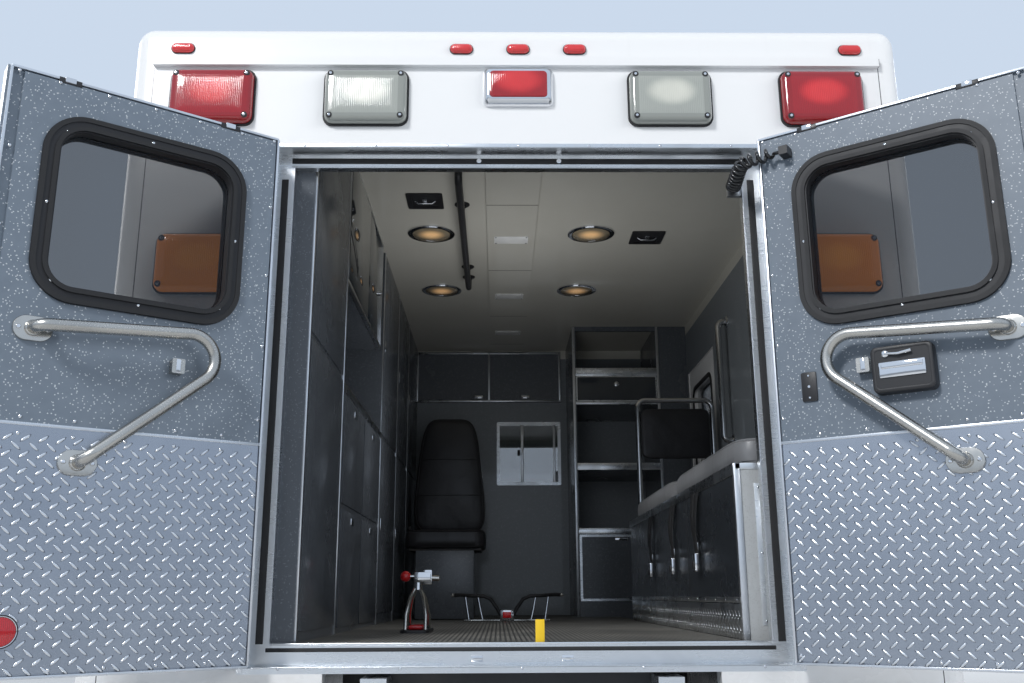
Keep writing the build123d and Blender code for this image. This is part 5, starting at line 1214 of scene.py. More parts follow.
def along_line(distance):
    """Place and direction on the lead's line at a distance from the jamb."""
    distance = min(max(distance, 0.0), LEAD_LENGTH - 1e-6)
    i = max(k for k in range(len(runs) - 1) if runs[k] <= distance)
    part = (distance - runs[i]) / (runs[i + 1] - runs[i])
    before, after = lead_line[max(i - 1, 0)], lead_line[min(i + 2, len(lead_line) - 1)]
    return lead_line[i].lerp(lead_line[i + 1], part), (after - before).normalized()


TURNS = 12.5
coil = []
steps = int(TURNS * 22)
sideways = None
for k in range(steps + 1):
    share = k / steps
    spent = 0.018 + (LEAD_LENGTH - 0.036) * (0.52 * share + 0.48 * share ** 2.4)
    place, heading = along_line(spent)
    sideways = turned_on(sideways, heading)
    upward = heading.cross(sideways)
    angle = 2 * math.pi * TURNS * share
    ends = min(share / 0.045, (1 - share) / 0.06, 1.0)
    wide = (COIL_OUT - WIRE) / 2 * (0.25 + 0.75 * ends) * (1 - 0.16 * share)
    coil.append(place + (sideways * math.cos(angle) + upward * math.sin(angle)) * wide)
start, heading = along_line(0.0)
finish_end, last_heading = along_line(LEAD_LENGTH)
coil = [start + heading * reach for reach in (0.001, 0.010)] + coil
coil += [finish_end - last_heading * reach for reach in (0.010, 0.001)]
coil_curve = smooth_curve("coiled_lead", coil, 2)
coil_curve.bevel_depth = WIRE / 2
coil_curve.bevel_resolution = 3
coil_curve.use_fill_caps = True
shiny_black = plain_finish("lead_jacket", (0.010, 0.010, 0.011), 0.22, 300, 0.0001, Coat_Weight=0.4)
coil_curve.materials.append(shiny_black)
coil_length = sum((two - one).length for one, two in zip(coil, coil[1:]))
coil_object = linked("coiled_lead", mesh_of("coiled_lead_curve", coil_curve))
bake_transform(coil_object)
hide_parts("door_lead")
print("lead", round(LEAD_LENGTH, 3), "m long with", round(coil_length, 2), "m of wire")

# %% [markdown]
# ## Ceiling of the patient room
# The pale ceiling has a raceway down its middle with access plates, four dome lamps in chrome rims, two
# black recessed fittings and a dark hand rail. A dome lamp is a shallow frosted lens with a warm bulb
# behind it, so its finish is warm and bright in the middle.

# %% Frames inside the room
CEIL = wall_frame((0, REAR, CEILING), (1, 0, 0), (0, -1, 0))
GROUND = Matrix.Translation((0, REAR, FLOOR))
CABINETS = wall_frame((-0.64, REAR, FLOOR), (0, 1, 0))
BENCH = wall_frame((0.645, REAR, FLOOR), (0, -1, 0))
BULKHEAD = wall_frame((0, FRONT - 0.06, FLOOR), (1, 0, 0))
COLUMN = wall_frame((0, REAR + 3.4, FLOOR), (1, 0, 0))
room_frames = (CEIL, GROUND, CABINETS, BENCH, BULKHEAD, COLUMN)
print("frames of the room at", [tuple(round(c, 3) for c in place.translation) for place in room_frames])

# %% Dome lamps, plates and recessed fittings
dome_glass = Finish("dome_lamp_lens")
dome_x, dome_y = dome_glass.flat()
from_bulb = (dome_x * dome_x + dome_y * dome_y) ** 0.5
prisms = (from_bulb * 1100).sine()
warm = 1 - from_bulb.rise(0.012, 0.075)
dome_shade = dome_glass.mix(warm, (0.30, 0.25, 0.17), (0.95, 0.66, 0.34))
dome_light = dome_glass.mix(warm, (0.0, 0.0, 0.0), (0.9, 0.50, 0.22))
dome_lens = dome_glass.done(dome_glass.shader(dome_shade, 0.0, 0.14, dome_glass.bump(prisms, 0.0008, 0.5),
                                              Coat_Weight=0.8, Emission_Color=dome_light,
                                              Emission_Strength=0.35))
domes = Fitting("dome_lamp_set", dome_lens, chrome)
for x in (-0.387, 0.387):
    for y in (1.69, 2.60):
        here = CEIL @ Matrix.Translation((x, -y, 0))
        domes.turned([(0.094, -0.030), (0.094, -0.002), (0.088, 0.004), (0.066, 0.0078), (0, 0.009)],
                     (0, 0), 0, here, 32)
        domes.ring(circle(0.113, count=36), circle(0.091, count=36), -0.001, 0.0055, 1, here)
        domes.ring(circle(0.103, count=36), circle(0.093, count=36), 0.003, 0.0090, 1, here)
domes.piece("vehicle", "clear_lens", ["dome_lamps"])

ceiling_set = Fitting("ceiling_fittings", white_plastic, black_plastic, chrome)
for y in (1.742, 2.68, 3.50):
    ceiling_set.prism(rounded(0.165, 0.095, 0.006, (0, -y)), 0.0135, 0.0165, 0, CEIL, 0.001)
    for sx, sy in CORNERS:
        ceiling_set.screw((sx * 0.074, -y + sy * 0.039), 0.004, 0.0162, 2, CEIL)
for y in (1.30, 2.21, 3.10, 3.80):
    ceiling_set.block((-0.1155, -y - 0.0015, 0.0125), (0.1155, -y + 0.0015, 0.0148), 1, CEIL)
for x, y in ((-0.388, 1.283), (0.667, 1.742)):
    ceiling_set.hollow((0.160, 0.170, 0.010), (0.116, 0.126, 0.006), -0.001, 0.0060, 1, CEIL, (x, -y))
    ceiling_set.prism(rounded(0.118, 0.128, 0.006, (x, -y)), 0.0, 0.0022, 1, CEIL)
    handle = ((-0.045, 0.003), (-0.03, 0.014), (0.03, 0.014), (0.045, 0.003))
    ceiling_set.rod([(x + reach, -y, drop) for reach, drop in handle], 0.005, 2, CEIL)
    ceiling_set.block((x - 0.010, -y - 0.030, 0.002), (x + 0.010, -y + 0.030, 0.008), 2, CEIL, 0.002)
ceiling_set.piece("vehicle", "cabinet")

# %% Rails of the room
rails = Finish("room_rails")
aloft = rails.z > FLOOR + 1.70
brushed = rails.noise(220, 2)
rail_shade = rails.mix(aloft, (0.66, 0.66, 0.66), (0.03, 0.03, 0.032))
rail_rough = 0.16 + aloft * 0.2 + (brushed - 0.5) * 0.08
dress(rails.done(rails.shader(rail_shade, 1 - aloft, rail_rough, rails.bump(brushed, 0.00004, 0.3))),
      "grab_rails")
feet = Fitting("rail_feet", chrome, black_plastic)
for y in (0.9, 1.325, 2.185, 2.36):
    feet.turned([(0.034, 0), (0.034, 0.004), (0.030, 0.007), (0.019, 0.009), (0.019, 0.014)],
                (-0.225, -y), 1, CEIL)
for x in (0.70, 1.11):
    feet.turned([(0.032, 0.5105), (0.032, 0.515), (0.026, 0.5185), (0.0165, 0.5205), (0.0165, 0.526)],
                (x, 2.51), 0, GROUND)
wall_pole = wall_frame((INNER, REAR, FLOOR), (0, -1, 0))
for z in (0.90, 1.54):
    feet.turned([(0.034, 0), (0.034, 0.004), (0.028, 0.008), (0.019, 0.010), (0.019, 0.016)], (-2.25, z),
                0, wall_pole)
feet.piece("vehicle", "chrome")

# %% [markdown]
# ## Cabinets
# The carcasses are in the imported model. Here come their edges of bright aluminium, the gaps between
# their doors, the pulls and latches, and the sliding doors of smoked acrylic over the counter.

# %% Left-hand cabinets
acrylic = Finish("smoked_acrylic")
smoked_gloss = 0.05 + acrylic.noise(6, 3) * 0.06
smoked = acrylic.done(acrylic.shader((0.020, 0.026, 0.034), 0.0, smoked_gloss, None, Coat_Weight=0.8, IOR=1.49))
CABINET_TOP = 1.829
left = Fitting("left_cabinet_trim", aluminium, smoked, chrome, level_aluminium, cabinet_grey)
left.frame = CABINETS
for near, far in ((0.7775, 0.7915), (0.106, 0.122)):
    left.block((near, 0.0, -0.012), (far, CABINET_TOP, 0.0045), 0, None, 0.002)
for far, low, high in ((1.97, 0.872, 0.902), (1.85, 1.288, 1.306), (1.85, 1.812, CABINET_TOP)):
    left.block((0.79, low, -0.012), (far, high, 0.0045), 3, None, 0.002)
for y, low in ((1.843, 1.29), (1.977, 0.0), (2.70, 0.0), (3.35, 0.0)):
    left.block((y - 0.007, low, -0.004), (y + 0.007, CABINET_TOP, 0.0045), 0, None, 0.002)
left.block((0.800, 1.308, -0.001), (1.345, 1.810, 0.0060), 1, None, 0.0015)
left.block((1.305, 1.308, -0.003), (1.835, 1.810, 0.0022), 1, None, 0.0015)
for y in (0.835, 1.800):
    left.turned([(0.016, 0.002), (0.016, 0.0068), (0.012, 0.0074), (0.011, 0.0045), (0, 0.0045)], (y, 1.56), 2)


def cabinet_door(near, far, low, high):
    """A door panel. Its middle is handed back, for the pull."""
    middle = ((near + far) / 2, (low + high) / 2)
    left.prism(rounded(far - near, high - low, 0.004, middle), -0.001, 0.0042, 4, None, 0.001)
    return middle


for low, high in ((0.02, 0.44), (0.46, 0.86)):
    for near, far in ((0.83, 1.37), (1.39, 1.94)):
        x, _ = cabinet_door(near, far, low, high)
        left.block((x - 0.03, high - 0.045, 0.003), (x + 0.03, high - 0.020, 0.0075), 2, None, 0.002)
for near, far in ((2.0, 2.68), (2.72, 3.33), (3.37, 4.04)):
    for low, high in ((0.05, 0.88), (0.90, 1.80)):
        _, z = cabinet_door(near, far, low, high)
        left.block((near + 0.03, z - 0.03, 0.003), (near + 0.055, z + 0.03, 0.0075), 2, None, 0.002)
for low, high in ((0.03, 0.90), (0.92, 1.80)):
    left.prism(rounded(0.62, high - low, 0.004, (0.45, (low + high) / 2)), -0.001, 0.0038, 4, None, 0.001)
left.piece("vehicle", "bright_aluminium")

# %% Shelf column and overhead cupboards
front = Fitting("front_cabinet_trim", aluminium, level_aluminium, smoked, chrome, cabinet_grey)
front.frame = COLUMN
for near, far in ((0.4175, 0.4345), (0.9625, 0.9785)):
    front.block((near, 0.0, -0.014), (far, CABINET_TOP, 0.0035), 0, None, 0.0015)
for low, high in ((0.496, 0.532), (0.893, 0.937), (1.314, 1.331), (1.500, 1.553)):
    front.block((0.435, low, -0.010), (0.962, high, 0.0030), 1, None, 0.0015)
for z, tall, edge, high, pane_high, finish in ((0.292, 0.400, 0.030, 0.0055, 0.0030, 4),
                                               (1.4155, 0.166, 0.014, 0.0050, 0.0028, 2)):
    outer, inner = (0.520, tall, 0.004), (0.520 - edge, tall - edge, 0.004)
    front.hollow(outer, inner, -0.001, high, 1, None, (0.699, z))
    front.prism(rounded(inner[0] + 0.002, inner[1] + 0.002, 0.004, (0.699, z)), -0.001, pane_high, finish)
front.turned([(0.017, 0.002), (0.017, 0.0055), (0.012, 0.008), (0, 0.0085)], (0.700, 1.445), 3)
front.block((0.660, 0.455, 0.003), (0.740, 0.472, 0.0075), 3, None, 0.002)
front.frame = wall_frame((0, FRONT - 0.09, FLOOR), (1, 0, 0))
for x in (-0.637, -0.129, 0.372):
    front.block((x - 0.006, 1.454, -0.001), (x + 0.006, 1.812, 0.0040), 0, None, 0.0012)
for z in (1.459, 1.806):
    front.block((-0.636, z - 0.006, -0.001), (0.372, z + 0.006, 0.0040), 1, None, 0.0012)
for x in (-0.20, 0.13):
    front.block((x - 0.03, 1.478, 0.0), (x + 0.03, 1.500, 0.0055), 3, None, 0.002)
front.piece("vehicle", "bright_aluminium")

# %% Sliding window through the front wall
window = Fitting("passage_window", aluminium, clear_glass, level_aluminium, black_rubber)
window.frame = BULKHEAD
window.hollow((0.448, 0.444, 0.012), (0.408, 0.400, 0.004), -0.030, 0.0045, 2, None, (0.15, 1.091))
window.block((0.094, 0.890, -0.020), (0.114, 1.292, 0.0030), 0, None, 0.0015)
window.block((0.322, 0.890, -0.020), (0.336, 1.292, 0.0020), 0, None, 0.0015)
window.block((-0.056, 0.889, -0.012), (0.104, 1.293, -0.008), 1)
window.block((0.104, 0.889, -0.020), (0.354, 1.293, -0.016), 1)
window.block((0.070, 1.075, -0.008), (0.090, 1.115, 0.001), 3, None, 0.002)
window.piece("vehicle", "bright_aluminium")

# %% [markdown]
# ## Bench
# The long bench has a dark gloss front with bright edges, a hinge line above a tread-plate kick board, and
# three pairs of black belts that hang from under the cushion with chrome buckles. Its rear end is a pale
# panel with an aluminium corner.

# %% Bench trims, kick plate and belts
BENCH_HEAD, BENCH_TOP = 2.55, 0.511
bench_set = Fitting("bench_trim", aluminium, level_aluminium, black_plastic)
bench_set.frame = BENCH
bench_set.block((-BENCH_HEAD, 0.478, -0.004), (-0.150, BENCH_TOP, 0.0050), 1, None, 0.002)
bench_set.block((-BENCH_HEAD, 0.104, -0.001), (-0.152, 0.120, 0.0045), 1, None, 0.0015)
bench_set.block((-BENCH_HEAD, 0.002, -0.001), (-0.152, 0.101, 0.0030), 1, None, 0.0008)
bench_set.block((-0.168, 0.0, -0.015), (-0.1485, 0.510, 0.0035), 0, None, 0.0015)
for y in (0.95, 1.75):
    bench_set.block((-y - 0.002, 0.122, -0.0005), (-y + 0.002, 0.477, 0.0012), 2)
BENCH_END = wall_frame((0, REAR + 0.15, FLOOR), (1, 0, 0))
bench_set.frame = BENCH_END
bench_set.block((0.6435, 0.0, -0.010), (0.6620, BENCH_TOP, 0.0030), 0, None, 0.0015)
bench_set.block((0.646, 0.492, -0.010), (1.157, BENCH_TOP, 0.0030), 1, None, 0.0015)
bench_set.block((0.700, 0.040, -0.001), (1.130, 0.450, 0.0022), 1, None, 0.001)
bench_set.piece("vehicle", "bright_aluminium")

kick = tread_spots(BENCH, (-2.54, -0.155), (0.004, 0.100), 0.0030)
copies("kick_plate_bars", "bar", kick, BAR, level_aluminium, "vehicle")
bench_screws = [spot(BENCH, -0.2 - 0.15 * i, 0.112, 0.0042) for i in range(16)]
bench_screws += [spot(BENCH_END, x, z, 0.0022) for x in (0.712, 1.118) for z in (0.052, 0.245, 0.438)]
copies("bench_screws", "dome", bench_screws, (0.0042, 0.0042, 0.0024), chrome, "vehicle")

webbing = Finish("black_webbing")
TWILL = (0.0024, 0.0030)
twill = ((webbing.y + webbing.z) * (2 * math.pi / TWILL[0])).sine()
twill = twill * ((webbing.y - webbing.z) * (2 * math.pi / TWILL[1])).sine()
web_shade = webbing.mix(twill * 0.5 + 0.5, (0.008, 0.008, 0.009), (0.026, 0.026, 0.028))
web_black = webbing.done(webbing.shader(web_shade, 0.0, 0.6, webbing.bump(twill, 0.0004, 0.6)))
belts = Fitting("bench_belts", web_black, chrome, black_plastic)
belts.frame = BENCH


STRAP_HALF, STRAP_THIN = 0.022, 0.0014


def strap(along, top, foot, lean):
    """A hanging strap: a thin band that leaves the face in a slight bow."""
    form = bmesh.new()
    rings = []
    for i in range(9):
        share = i / 8
        x, y = along + lean * share, top + (foot - top) * share
        out = 0.0065 + 0.013 * math.sin(math.pi * share * 0.9)
        rings.append([form.verts.new((x + sx * STRAP_HALF, y, out + sz * STRAP_THIN))
                      for sx, sz in ((-1, -1), (1, -1), (1, 1), (-1, 1))])
    closed(form, rings)
    belts.take(form, 0)


for y in (0.70, 1.17, 1.74):
    strap(-y, 0.478, 0.252, -0.022)
    strap(-y - 0.070, 0.478, 0.300, 0.030)
    belts.block((-y - 0.049, 0.205, 0.010), (-y + 0.003, 0.268, 0.026), 1, None, 0.004)
    belts.block((-y - 0.038, 0.214, 0.022), (-y - 0.008, 0.240, 0.030), 2, None, 0.003)
    belts.hollow((0.052, 0.034, 0.008), (0.038, 0.018, 0.005), 0.008, 0.013, 1, None, (-y - 0.040, 0.292))
belts.piece("vehicle", "upholstery")

# %% [markdown]
# ## Upholstery
# Cushions in vehicles are firm foam under vinyl. A cover pulled over foam crowns in the middle, draws in
# between its corners and shows a welt along its seams. Each cushion is a stack of outlines from its base
# to its crown, so all of that is in the outlines, with fine creases near the seams from the finish.

# %% Cushion forms
def cover(name, colour):
    """Vinyl with a pebble grain, and creases that run in from the seams."""
    vinyl = Finish(name)
    creases = vinyl.noise(9, 3, vinyl.place(*vinyl.flat(), 0.0)).rise(0.35, 0.7)
    pebble = vinyl.cells(340) * 0.5 + vinyl.noise(500, 2) * 0.5
    worn = vinyl.noise(4, 4).rise(0.4, 0.8)
    shade = vinyl.mix(worn * 0.4, colour, tuple(min(1, c * 1.6 + 0.01) for c in colour))
    relief = vinyl.bump(pebble * 0.10 + creases * 0.9, 0.0030, 0.5)
    return vinyl.done(vinyl.shader(shade, 0.0, 0.34 + worn * 0.14, relief))


bench_cover = cover("bench_vinyl", (0.20, 0.205, 0.215))
dark_cover = cover("black_seat_vinyl", (0.012, 0.012, 0.014))


def soft_outline(width, tall, taper, power):
    """A rectangle with round corners whose sides draw in. Taper narrows it towards the top."""
    pull, count = 0.02, 56
    points = []
    for step in range(count):
        turn = 2 * math.pi * (step + 0.5) / count
        c, s = math.cos(turn), math.sin(turn)
        x = math.copysign(abs(c) ** (2 / power), c)
        y = math.copysign(abs(s) ** (2 / power), s)
        x, y = x * (1 - pull * (1 - y * y)), y * (1 - pull * (1 - x * x))
        x *= 1 - taper * ((y + 1) / 2) ** 1.6
        points.append((x * width / 2, y * tall / 2))
    return points


def cushion(kit, width, tall, thick, crown, frame, finish=0, taper=0.0, power=9.0, welt=0.004):
    """A crowned, closed cushion on its base, with a welt round its upper and lower seams."""
    edge = min(thick * 0.22, 0.02)
    stack = [(edge * 0.7, 0.0), (edge * 0.12, edge * 0.6), (0.0, thick * 0.4), (0.0, thick * 0.62),
             (edge * 0.2, thick - edge * 0.5), (edge, thick)]
    outlines = []
    for inset, height in stack:
        outlines.append((soft_outline(width - 2 * inset, tall - 2 * inset, taper, power), height))
    for share in (0.93, 0.84, 0.7, 0.52, 0.32, 0.12):
        inner = soft_outline((width - 2 * edge) * share, (tall - 2 * edge) * share, taper,
                             power - 2 * (1 - share))
        outlines.append((inner, thick + crown * (1 - share ** 2.4)))
    kit.layers(outlines, finish, frame)
    for inset, height in ((edge * 0.75, thick - edge * 0.10), (edge * 0.45, edge * 0.35)):
        line = soft_outline(width - 2 * inset, tall - 2 * inset, taper, power)
        loop = [(x, y, height) for x, y in line]
        kit.rod(loop + loop[:1], welt, finish, frame, 8)


bench_soft = Fitting("bench_upholstery", bench_cover, dark_cover)
for back, ahead in ((0.156, 1.285), (1.291, 2.446)):
    here = GROUND @ Matrix.Translation((0.9025, (back + ahead) / 2, 0.5105))
    cushion(bench_soft, 0.500, ahead - back, 0.078, 0.010, here)
for facing in (-1, 1):
    here = wall_frame((0.905, REAR + 2.510, FLOOR + 0.979), (-facing, 0, 0))
    cushion(bench_soft, 0.378, 0.272, 0.017, 0.007, here, 1, welt=0.003)
bench_soft.piece("vehicle", "upholstery", ["bench_cushion"])

# %% Attendant's seat
seat = Fitting("attendant_seat_soft", dark_cover, frame_black, web_black, cabinet_grey)
back_frame = wall_frame((-0.365, REAR + 3.372, FLOOR + 0.845), (1, 0, 0))
cushion(seat, 0.462, 0.730, 0.086, 0.020, back_frame, 0, taper=0.30, power=5.0)
for y in (-0.12, 0.10):
    reach = 0.196 - 0.03 * (y > 0)
    seat.rod([(-reach, y, 0.100), (0, y, 0.1075), (reach, y, 0.100)], 0.0022, 0, back_frame, 8)
seat_frame = GROUND @ Matrix.Translation((-0.365, 3.040, 0.388))
cushion(seat, 0.466, 0.430, 0.098, 0.014, seat_frame, 0, power=7.0)
seat.block((-0.165, -0.19, -0.385), (0.165, 0.20, -0.012), 3, seat_frame, 0.006)
seat.block((-0.205, -0.18, -0.014), (0.205, 0.20, 0.002), 1, seat_frame, 0.003)
belt = [(-0.222, 0.165, 0.02), (-0.226, 0.160, 0.10), (-0.218, 0.02, 0.125), (-0.206, -0.10, 0.118)]
seat.rod(belt, 0.010, 2, seat_frame, 8)
seat.piece("vehicle", "upholstery", ["attendant_seat"])

# %% Cab seats
cab_cover = cover("cab_seat_cloth", (0.075, 0.078, 0.085))
cab_soft = Fitting("cab_seats_soft", cab_cover, black_plastic)
seats_low, seats_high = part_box("cab_seats")
CAB_SEAT_SIDE = 0.46
for x in (-CAB_SEAT_SIDE, CAB_SEAT_SIDE):
    base = Matrix.Translation((x, seats_high.y - 0.255, seats_low.z + 0.26))
    cushion(cab_soft, 0.490, 0.480, 0.105, 0.015, base, 0, power=7.0)
    cab_soft.block((-0.20, -0.22, -0.255), (0.20, 0.20, -0.004), 1, base, 0.01)
    rest = wall_frame((x, seats_low.y + 0.012, seats_low.z + 0.645), (-1, 0, 0))
    cushion(cab_soft, 0.470, 0.560, 0.085, 0.012, rest, 0, taper=0.14, power=6.0)
    head = wall_frame((x, seats_low.y + 0.020, seats_high.z - 0.062), (-1, 0, 0))
    cushion(cab_soft, 0.270, 0.120, 0.060, 0.008, head, 0, power=5.0)
cab_soft.piece("vehicle", "upholstery", ["cab_seats"])

# %% [markdown]
# ## Cot mount
# The cot locks into a side clamp near the doorway and runs its front wheels into a pair of antlers at the
# head. The antlers are black bars on chrome legs with a block between them. The clamp has spread legs, a
# red release knob on its left and a chrome jaw on its right.

# %% Antlers, clamp and floor tag
red_knob = plain_finish("red_knob", (0.62, 0.012, 0.016), 0.25, 300, 0.0001, Coat_Weight=0.6)
yellow_tape = plain_finish("yellow_tape", (0.85, 0.55, 0.02), 0.5, 300, 0.0002)
ANTLER = ((0.276, -0.165, 0.130), (0.25, -0.115, 0.132), (0.215, -0.03, 0.130), (0.180, -0.004, 0.127),
          (0.120, 0.0, 0.125), (0.085, 0.005, 0.110), (0.050, 0.010, 0.062), (0.034, 0.010, 0.030))
ANTLER_LEGS = (((0.150, 0.0, 0.122), (0.138, -0.004, 0.060), (0.126, -0.010, 0.009)),
               ((0.215, -0.03, 0.124), (0.205, -0.034, 0.060), (0.196, -0.040, 0.009)))
CLAMP_LEG = ((0.036, 1.0, 0.009), (0.036, 0.8, 0.060), (0.024, 0.4, 0.120), (0.009, 0, 0.156),
             (0.007, 0, 0.200))
mount = Fitting("cot_mount_set", black_plastic, chrome, stainless, red_knob, yellow_tape)
here = GROUND @ Matrix.Translation((-0.02, 2.5, 0))
for side in (-1, 1):
    antler, *legs = ([(side * x, y, z) for x, y, z in line] for line in (ANTLER, *ANTLER_LEGS))
    mount.rod(antler, 0.0095, 0, here, 12)
    tip = here @ Matrix.Translation(antler[0])
    mount.turned([(0, -0.010), (0.007, -0.008), (0.0115, 0), (0.007, 0.008), (0, 0.010)], (0, 0), 1, tip, 14)
    for leg in legs:
        mount.rod(leg, 0.0065, 1, here, 10)
    mount.block((side * 0.165 - 0.058, -0.045, 0), (side * 0.165 + 0.058, 0.020, 0.0095), 2, here, 0.003)
mount.block((-0.036, -0.035, 0), (0.036, 0.045, 0.058), 1, here, 0.006)
mount.block((-0.022, -0.0395, 0.016), (0.022, -0.030, 0.046), 3, here, 0.004)
mount.block((-0.130, -0.025, 0), (0.130, 0.030, 0.008), 2, here, 0.002)
here = GROUND @ Matrix.Translation((-0.362, 0.96, 0))
mount.prism(rounded(0.104, 0.300, 0.03), 0, 0.0100, 0, here, 0.003)
for reach in (-0.09, 0.09):
    for side in (-1, 1):
        mount.rod([(side * x, reach * share, z) for x, share, z in CLAMP_LEG], 0.0075, 2, here, 12)
mount.block((-0.028, -0.080, 0.010), (0.028, 0.080, 0.026), 3, here, 0.008)
mount.rod([(0, 0, 0.150), (0, 0, 0.214)], 0.014, 1, here, 16)
mount.block((-0.014, -0.020, 0.176), (0.048, 0.020, 0.214), 1, here, 0.005)
mount.block((0.018, -0.014, 0.168), (0.052, 0.014, 0.222), 1, here, 0.004)
mount.rod([(0.050, 0, 0.192), (0.078, 0, 0.191), (0.082, 0, 0.191)], [0.011, 0.011, 0.006], 2, here, 16)
mount.rod([(-0.010, 0, 0.198), (-0.036, 0, 0.198)], 0.006, 1, here, 12)
knob = wall_frame((0, 0, 0), (0, -1, 0))
knob.translation = here @ Vector((-0.030, 0, 0.198))
knob_line = [(0, -0.002), (0.011, 0.0), (0.0165, 0.006), (0.0195, 0.014), (0.0195, 0.020), (0.0165, 0.028),
             (0.010, 0.034), (0, 0.0365)]
mount.turned(knob_line, (0, 0), 3, knob, 20)
mount.block((0.040, 0.0980, 0.0005), (0.066, 0.1005, 0.0620), 4, GROUND, 0.0010)
mount.block((0.040, 0.0980, 0.0002), (0.066, 0.1250, 0.0018), 4, GROUND, 0.0006)
mount.piece("vehicle", "stainless", ["cot_mount"])

# %% [markdown]
# ## Tyres and wheels
# A tyre is a carcass with a bead, a bulged wall and a groove floor, and rubber lugs stand on that floor
# in seven staggered rows. The carcass is one turned band and the lugs are copies of one block, which is
# how a mould lays them out too. Each wheel gets a rolled lip, eight capped nuts and a pressed hub cap.

# %% Tyres with their treads
TYRE_HALF = ((0.203, 0.0825), (0.214, 0.0915), (0.224, 0.0895), (0.243, 0.1025), (0.270, 0.1105),
             (0.294, 0.1115), (0.318, 0.1095), (0.338, 0.1045), (0.352, 0.0990), (0.3600, 0.0920),
             (0.3640, 0.0820), (0.3655, 0.040))
TYRE_LINE = TYRE_HALF + tuple((radius, -height) for radius, height in reversed(TYRE_HALF))
TYRE_TOP = 0.3715
LUG = (0.006, 0.0163, 0.0125)
LUG_STEPS = 60
LUG_ROWS = (-0.064, -0.032, 0.0, 0.032, 0.064)
SHOULDER = (0.3575, 0.0905, 0.55)
RIM_LIP = ((0.196, 0.074), (0.2165, 0.0795), (0.2200, 0.0850), (0.2185, 0.0905), (0.2120, 0.0920),
           (0.2040, 0.0880), (0.1960, 0.0845))
NUTS, NUT_CIRCLE = 8, 0.0835
VALVE = ((0.150, 0.012, 0.0), (0.158, 0.012, 0.020), (0.168, 0.012, 0.034))


def hoop(kit, profile, frame):
    """A closed profile of (radius, height), turned round the axis of the frame."""
    form = bmesh.new()
    rows = [[form.verts.new((x, y, height)) for x, y in circle(radius, (0, 0), 64)]
            for radius, height in profile]
    for low, high in zip(rows, rows[1:] + rows[:1]):
        bridge(form, low, high)
    kit.take(form, 0, frame)


def lug_spots(wheel):
    """Five rows of lugs on the floor and one on each shoulder, tilted with it."""
    found = []
    radius, height, tilt = SHOULDER
    for number in range(LUG_STEPS):
        for row, place in enumerate(LUG_ROWS):
            turn = Matrix.Rotation((number + row % 2 / 2) * 2 * math.pi / LUG_STEPS, 4, "Z")
            found.append(wheel @ turn @ Matrix.Translation((TYRE_TOP - LUG[0], 0, place)))
        turn = Matrix.Rotation((number + 0.5) * 2 * math.pi / LUG_STEPS, 4, "Z")
        for side in (-1, 1):
            lean = Matrix.Rotation(-side * tilt, 4, "Y")
            found.append(wheel @ turn @ Matrix.Translation((radius, 0, side * height)) @ lean)
    return found


for side, word in ((-1, "left"), (1, "right")):
    for kind, tyres, rubber, axle, places, disc, cap in (
        ("front_wheel", "front_tyre", front_rubber, FRONT_AXLE, (0.875,), 1.005, 0.038),
        ("rear_wheels", "rear_tyres", rear_rubber, REAR_AXLE, (1.0685, 0.8085), 0.9465, 0.030),
    ):
        body = f"{kind}_{word}"
        carcass = Fitting(f"{tyres}_{word}_carcass", rubber)
        wheels = [wall_frame((side * place, axle.y, axle.z), (0, side, 0)) for place in places]
        for wheel in wheels:
            hoop(carcass, TYRE_LINE, wheel)
        carcass.piece(body, "tyre", [f"{tyres}_{word}"])
        copies(f"{tyres}_{word}_tread", "lug", sum(map(lug_spots, wheels), []), LUG, rubber, body)
        trim = Fitting(f"{body}_trim", wheel_steel, chrome, black_rubber)
        hoop(trim, RIM_LIP, wheels[0])
        hub = wall_frame((side * disc, axle.y, axle.z), (0, side, 0))
        trim.turned([(0.062, 0), (0.062, 0.005), (0.053, 0.012), (0.048, 0.017), (0.048, cap + 0.003),
                     (0.042, cap + 0.010), (0.016, cap + 0.014), (0, cap + 0.014)], (0, 0), 1, hub, 32)
        trim.rod(VALVE, 0.0045, 2, hub)
        trim.piece(body, "wheel_steel")
        for part, form, lift, size in (("nuts", "nut", 0.010, (0.0150, 0.0150, 0.020)),
                                       ("nut_caps", "dome", 0.020, (0.0112, 0.0112, 0.0090))):
            nuts = [hub @ Matrix.Rotation(number * 2 * math.pi / NUTS, 4, "Z")
                    @ Matrix.Translation((NUT_CIRCLE, 0, 0)) @ Matrix.Translation((0, 0, lift))
                    for number in range(NUTS)]
            copies(f"{body}_{part}", form, nuts, size, chrome, body)

# %% [markdown]
# ## Hatches and side door
# Each flush panel has a paddle latch in a dished chrome plate with a key lock, a bright piano hinge with
# rolled knuckles and pan heads along its leaf, and a thin black seal round the opening. The hinge rides on
# the panel and the seal stays on the body. The right rear leaf has the same latch on its outer face.

# %% Latches, hinges and seals
GAP = 0.008
KNUCKLE = 0.060
HINGE_SCREW = 0.110
PANELS = (
    ("left_rear_hatch", LEFT, -1, (REAR + 0.15, REAR + 1.09, 0.500, 1.500)),
    ("left_front_hatch", LEFT, -1, (FRONT - 0.79, FRONT - 0.12, 0.500, 2.120)),
    ("right_rear_hatch", RIGHT, 1, (REAR + 0.19, REAR + 1.09, 0.500, 1.270)),
    ("side_door", RIGHT, 1, (REAR + 2.62, REAR + 3.36, 0.500, 2.300)),
)


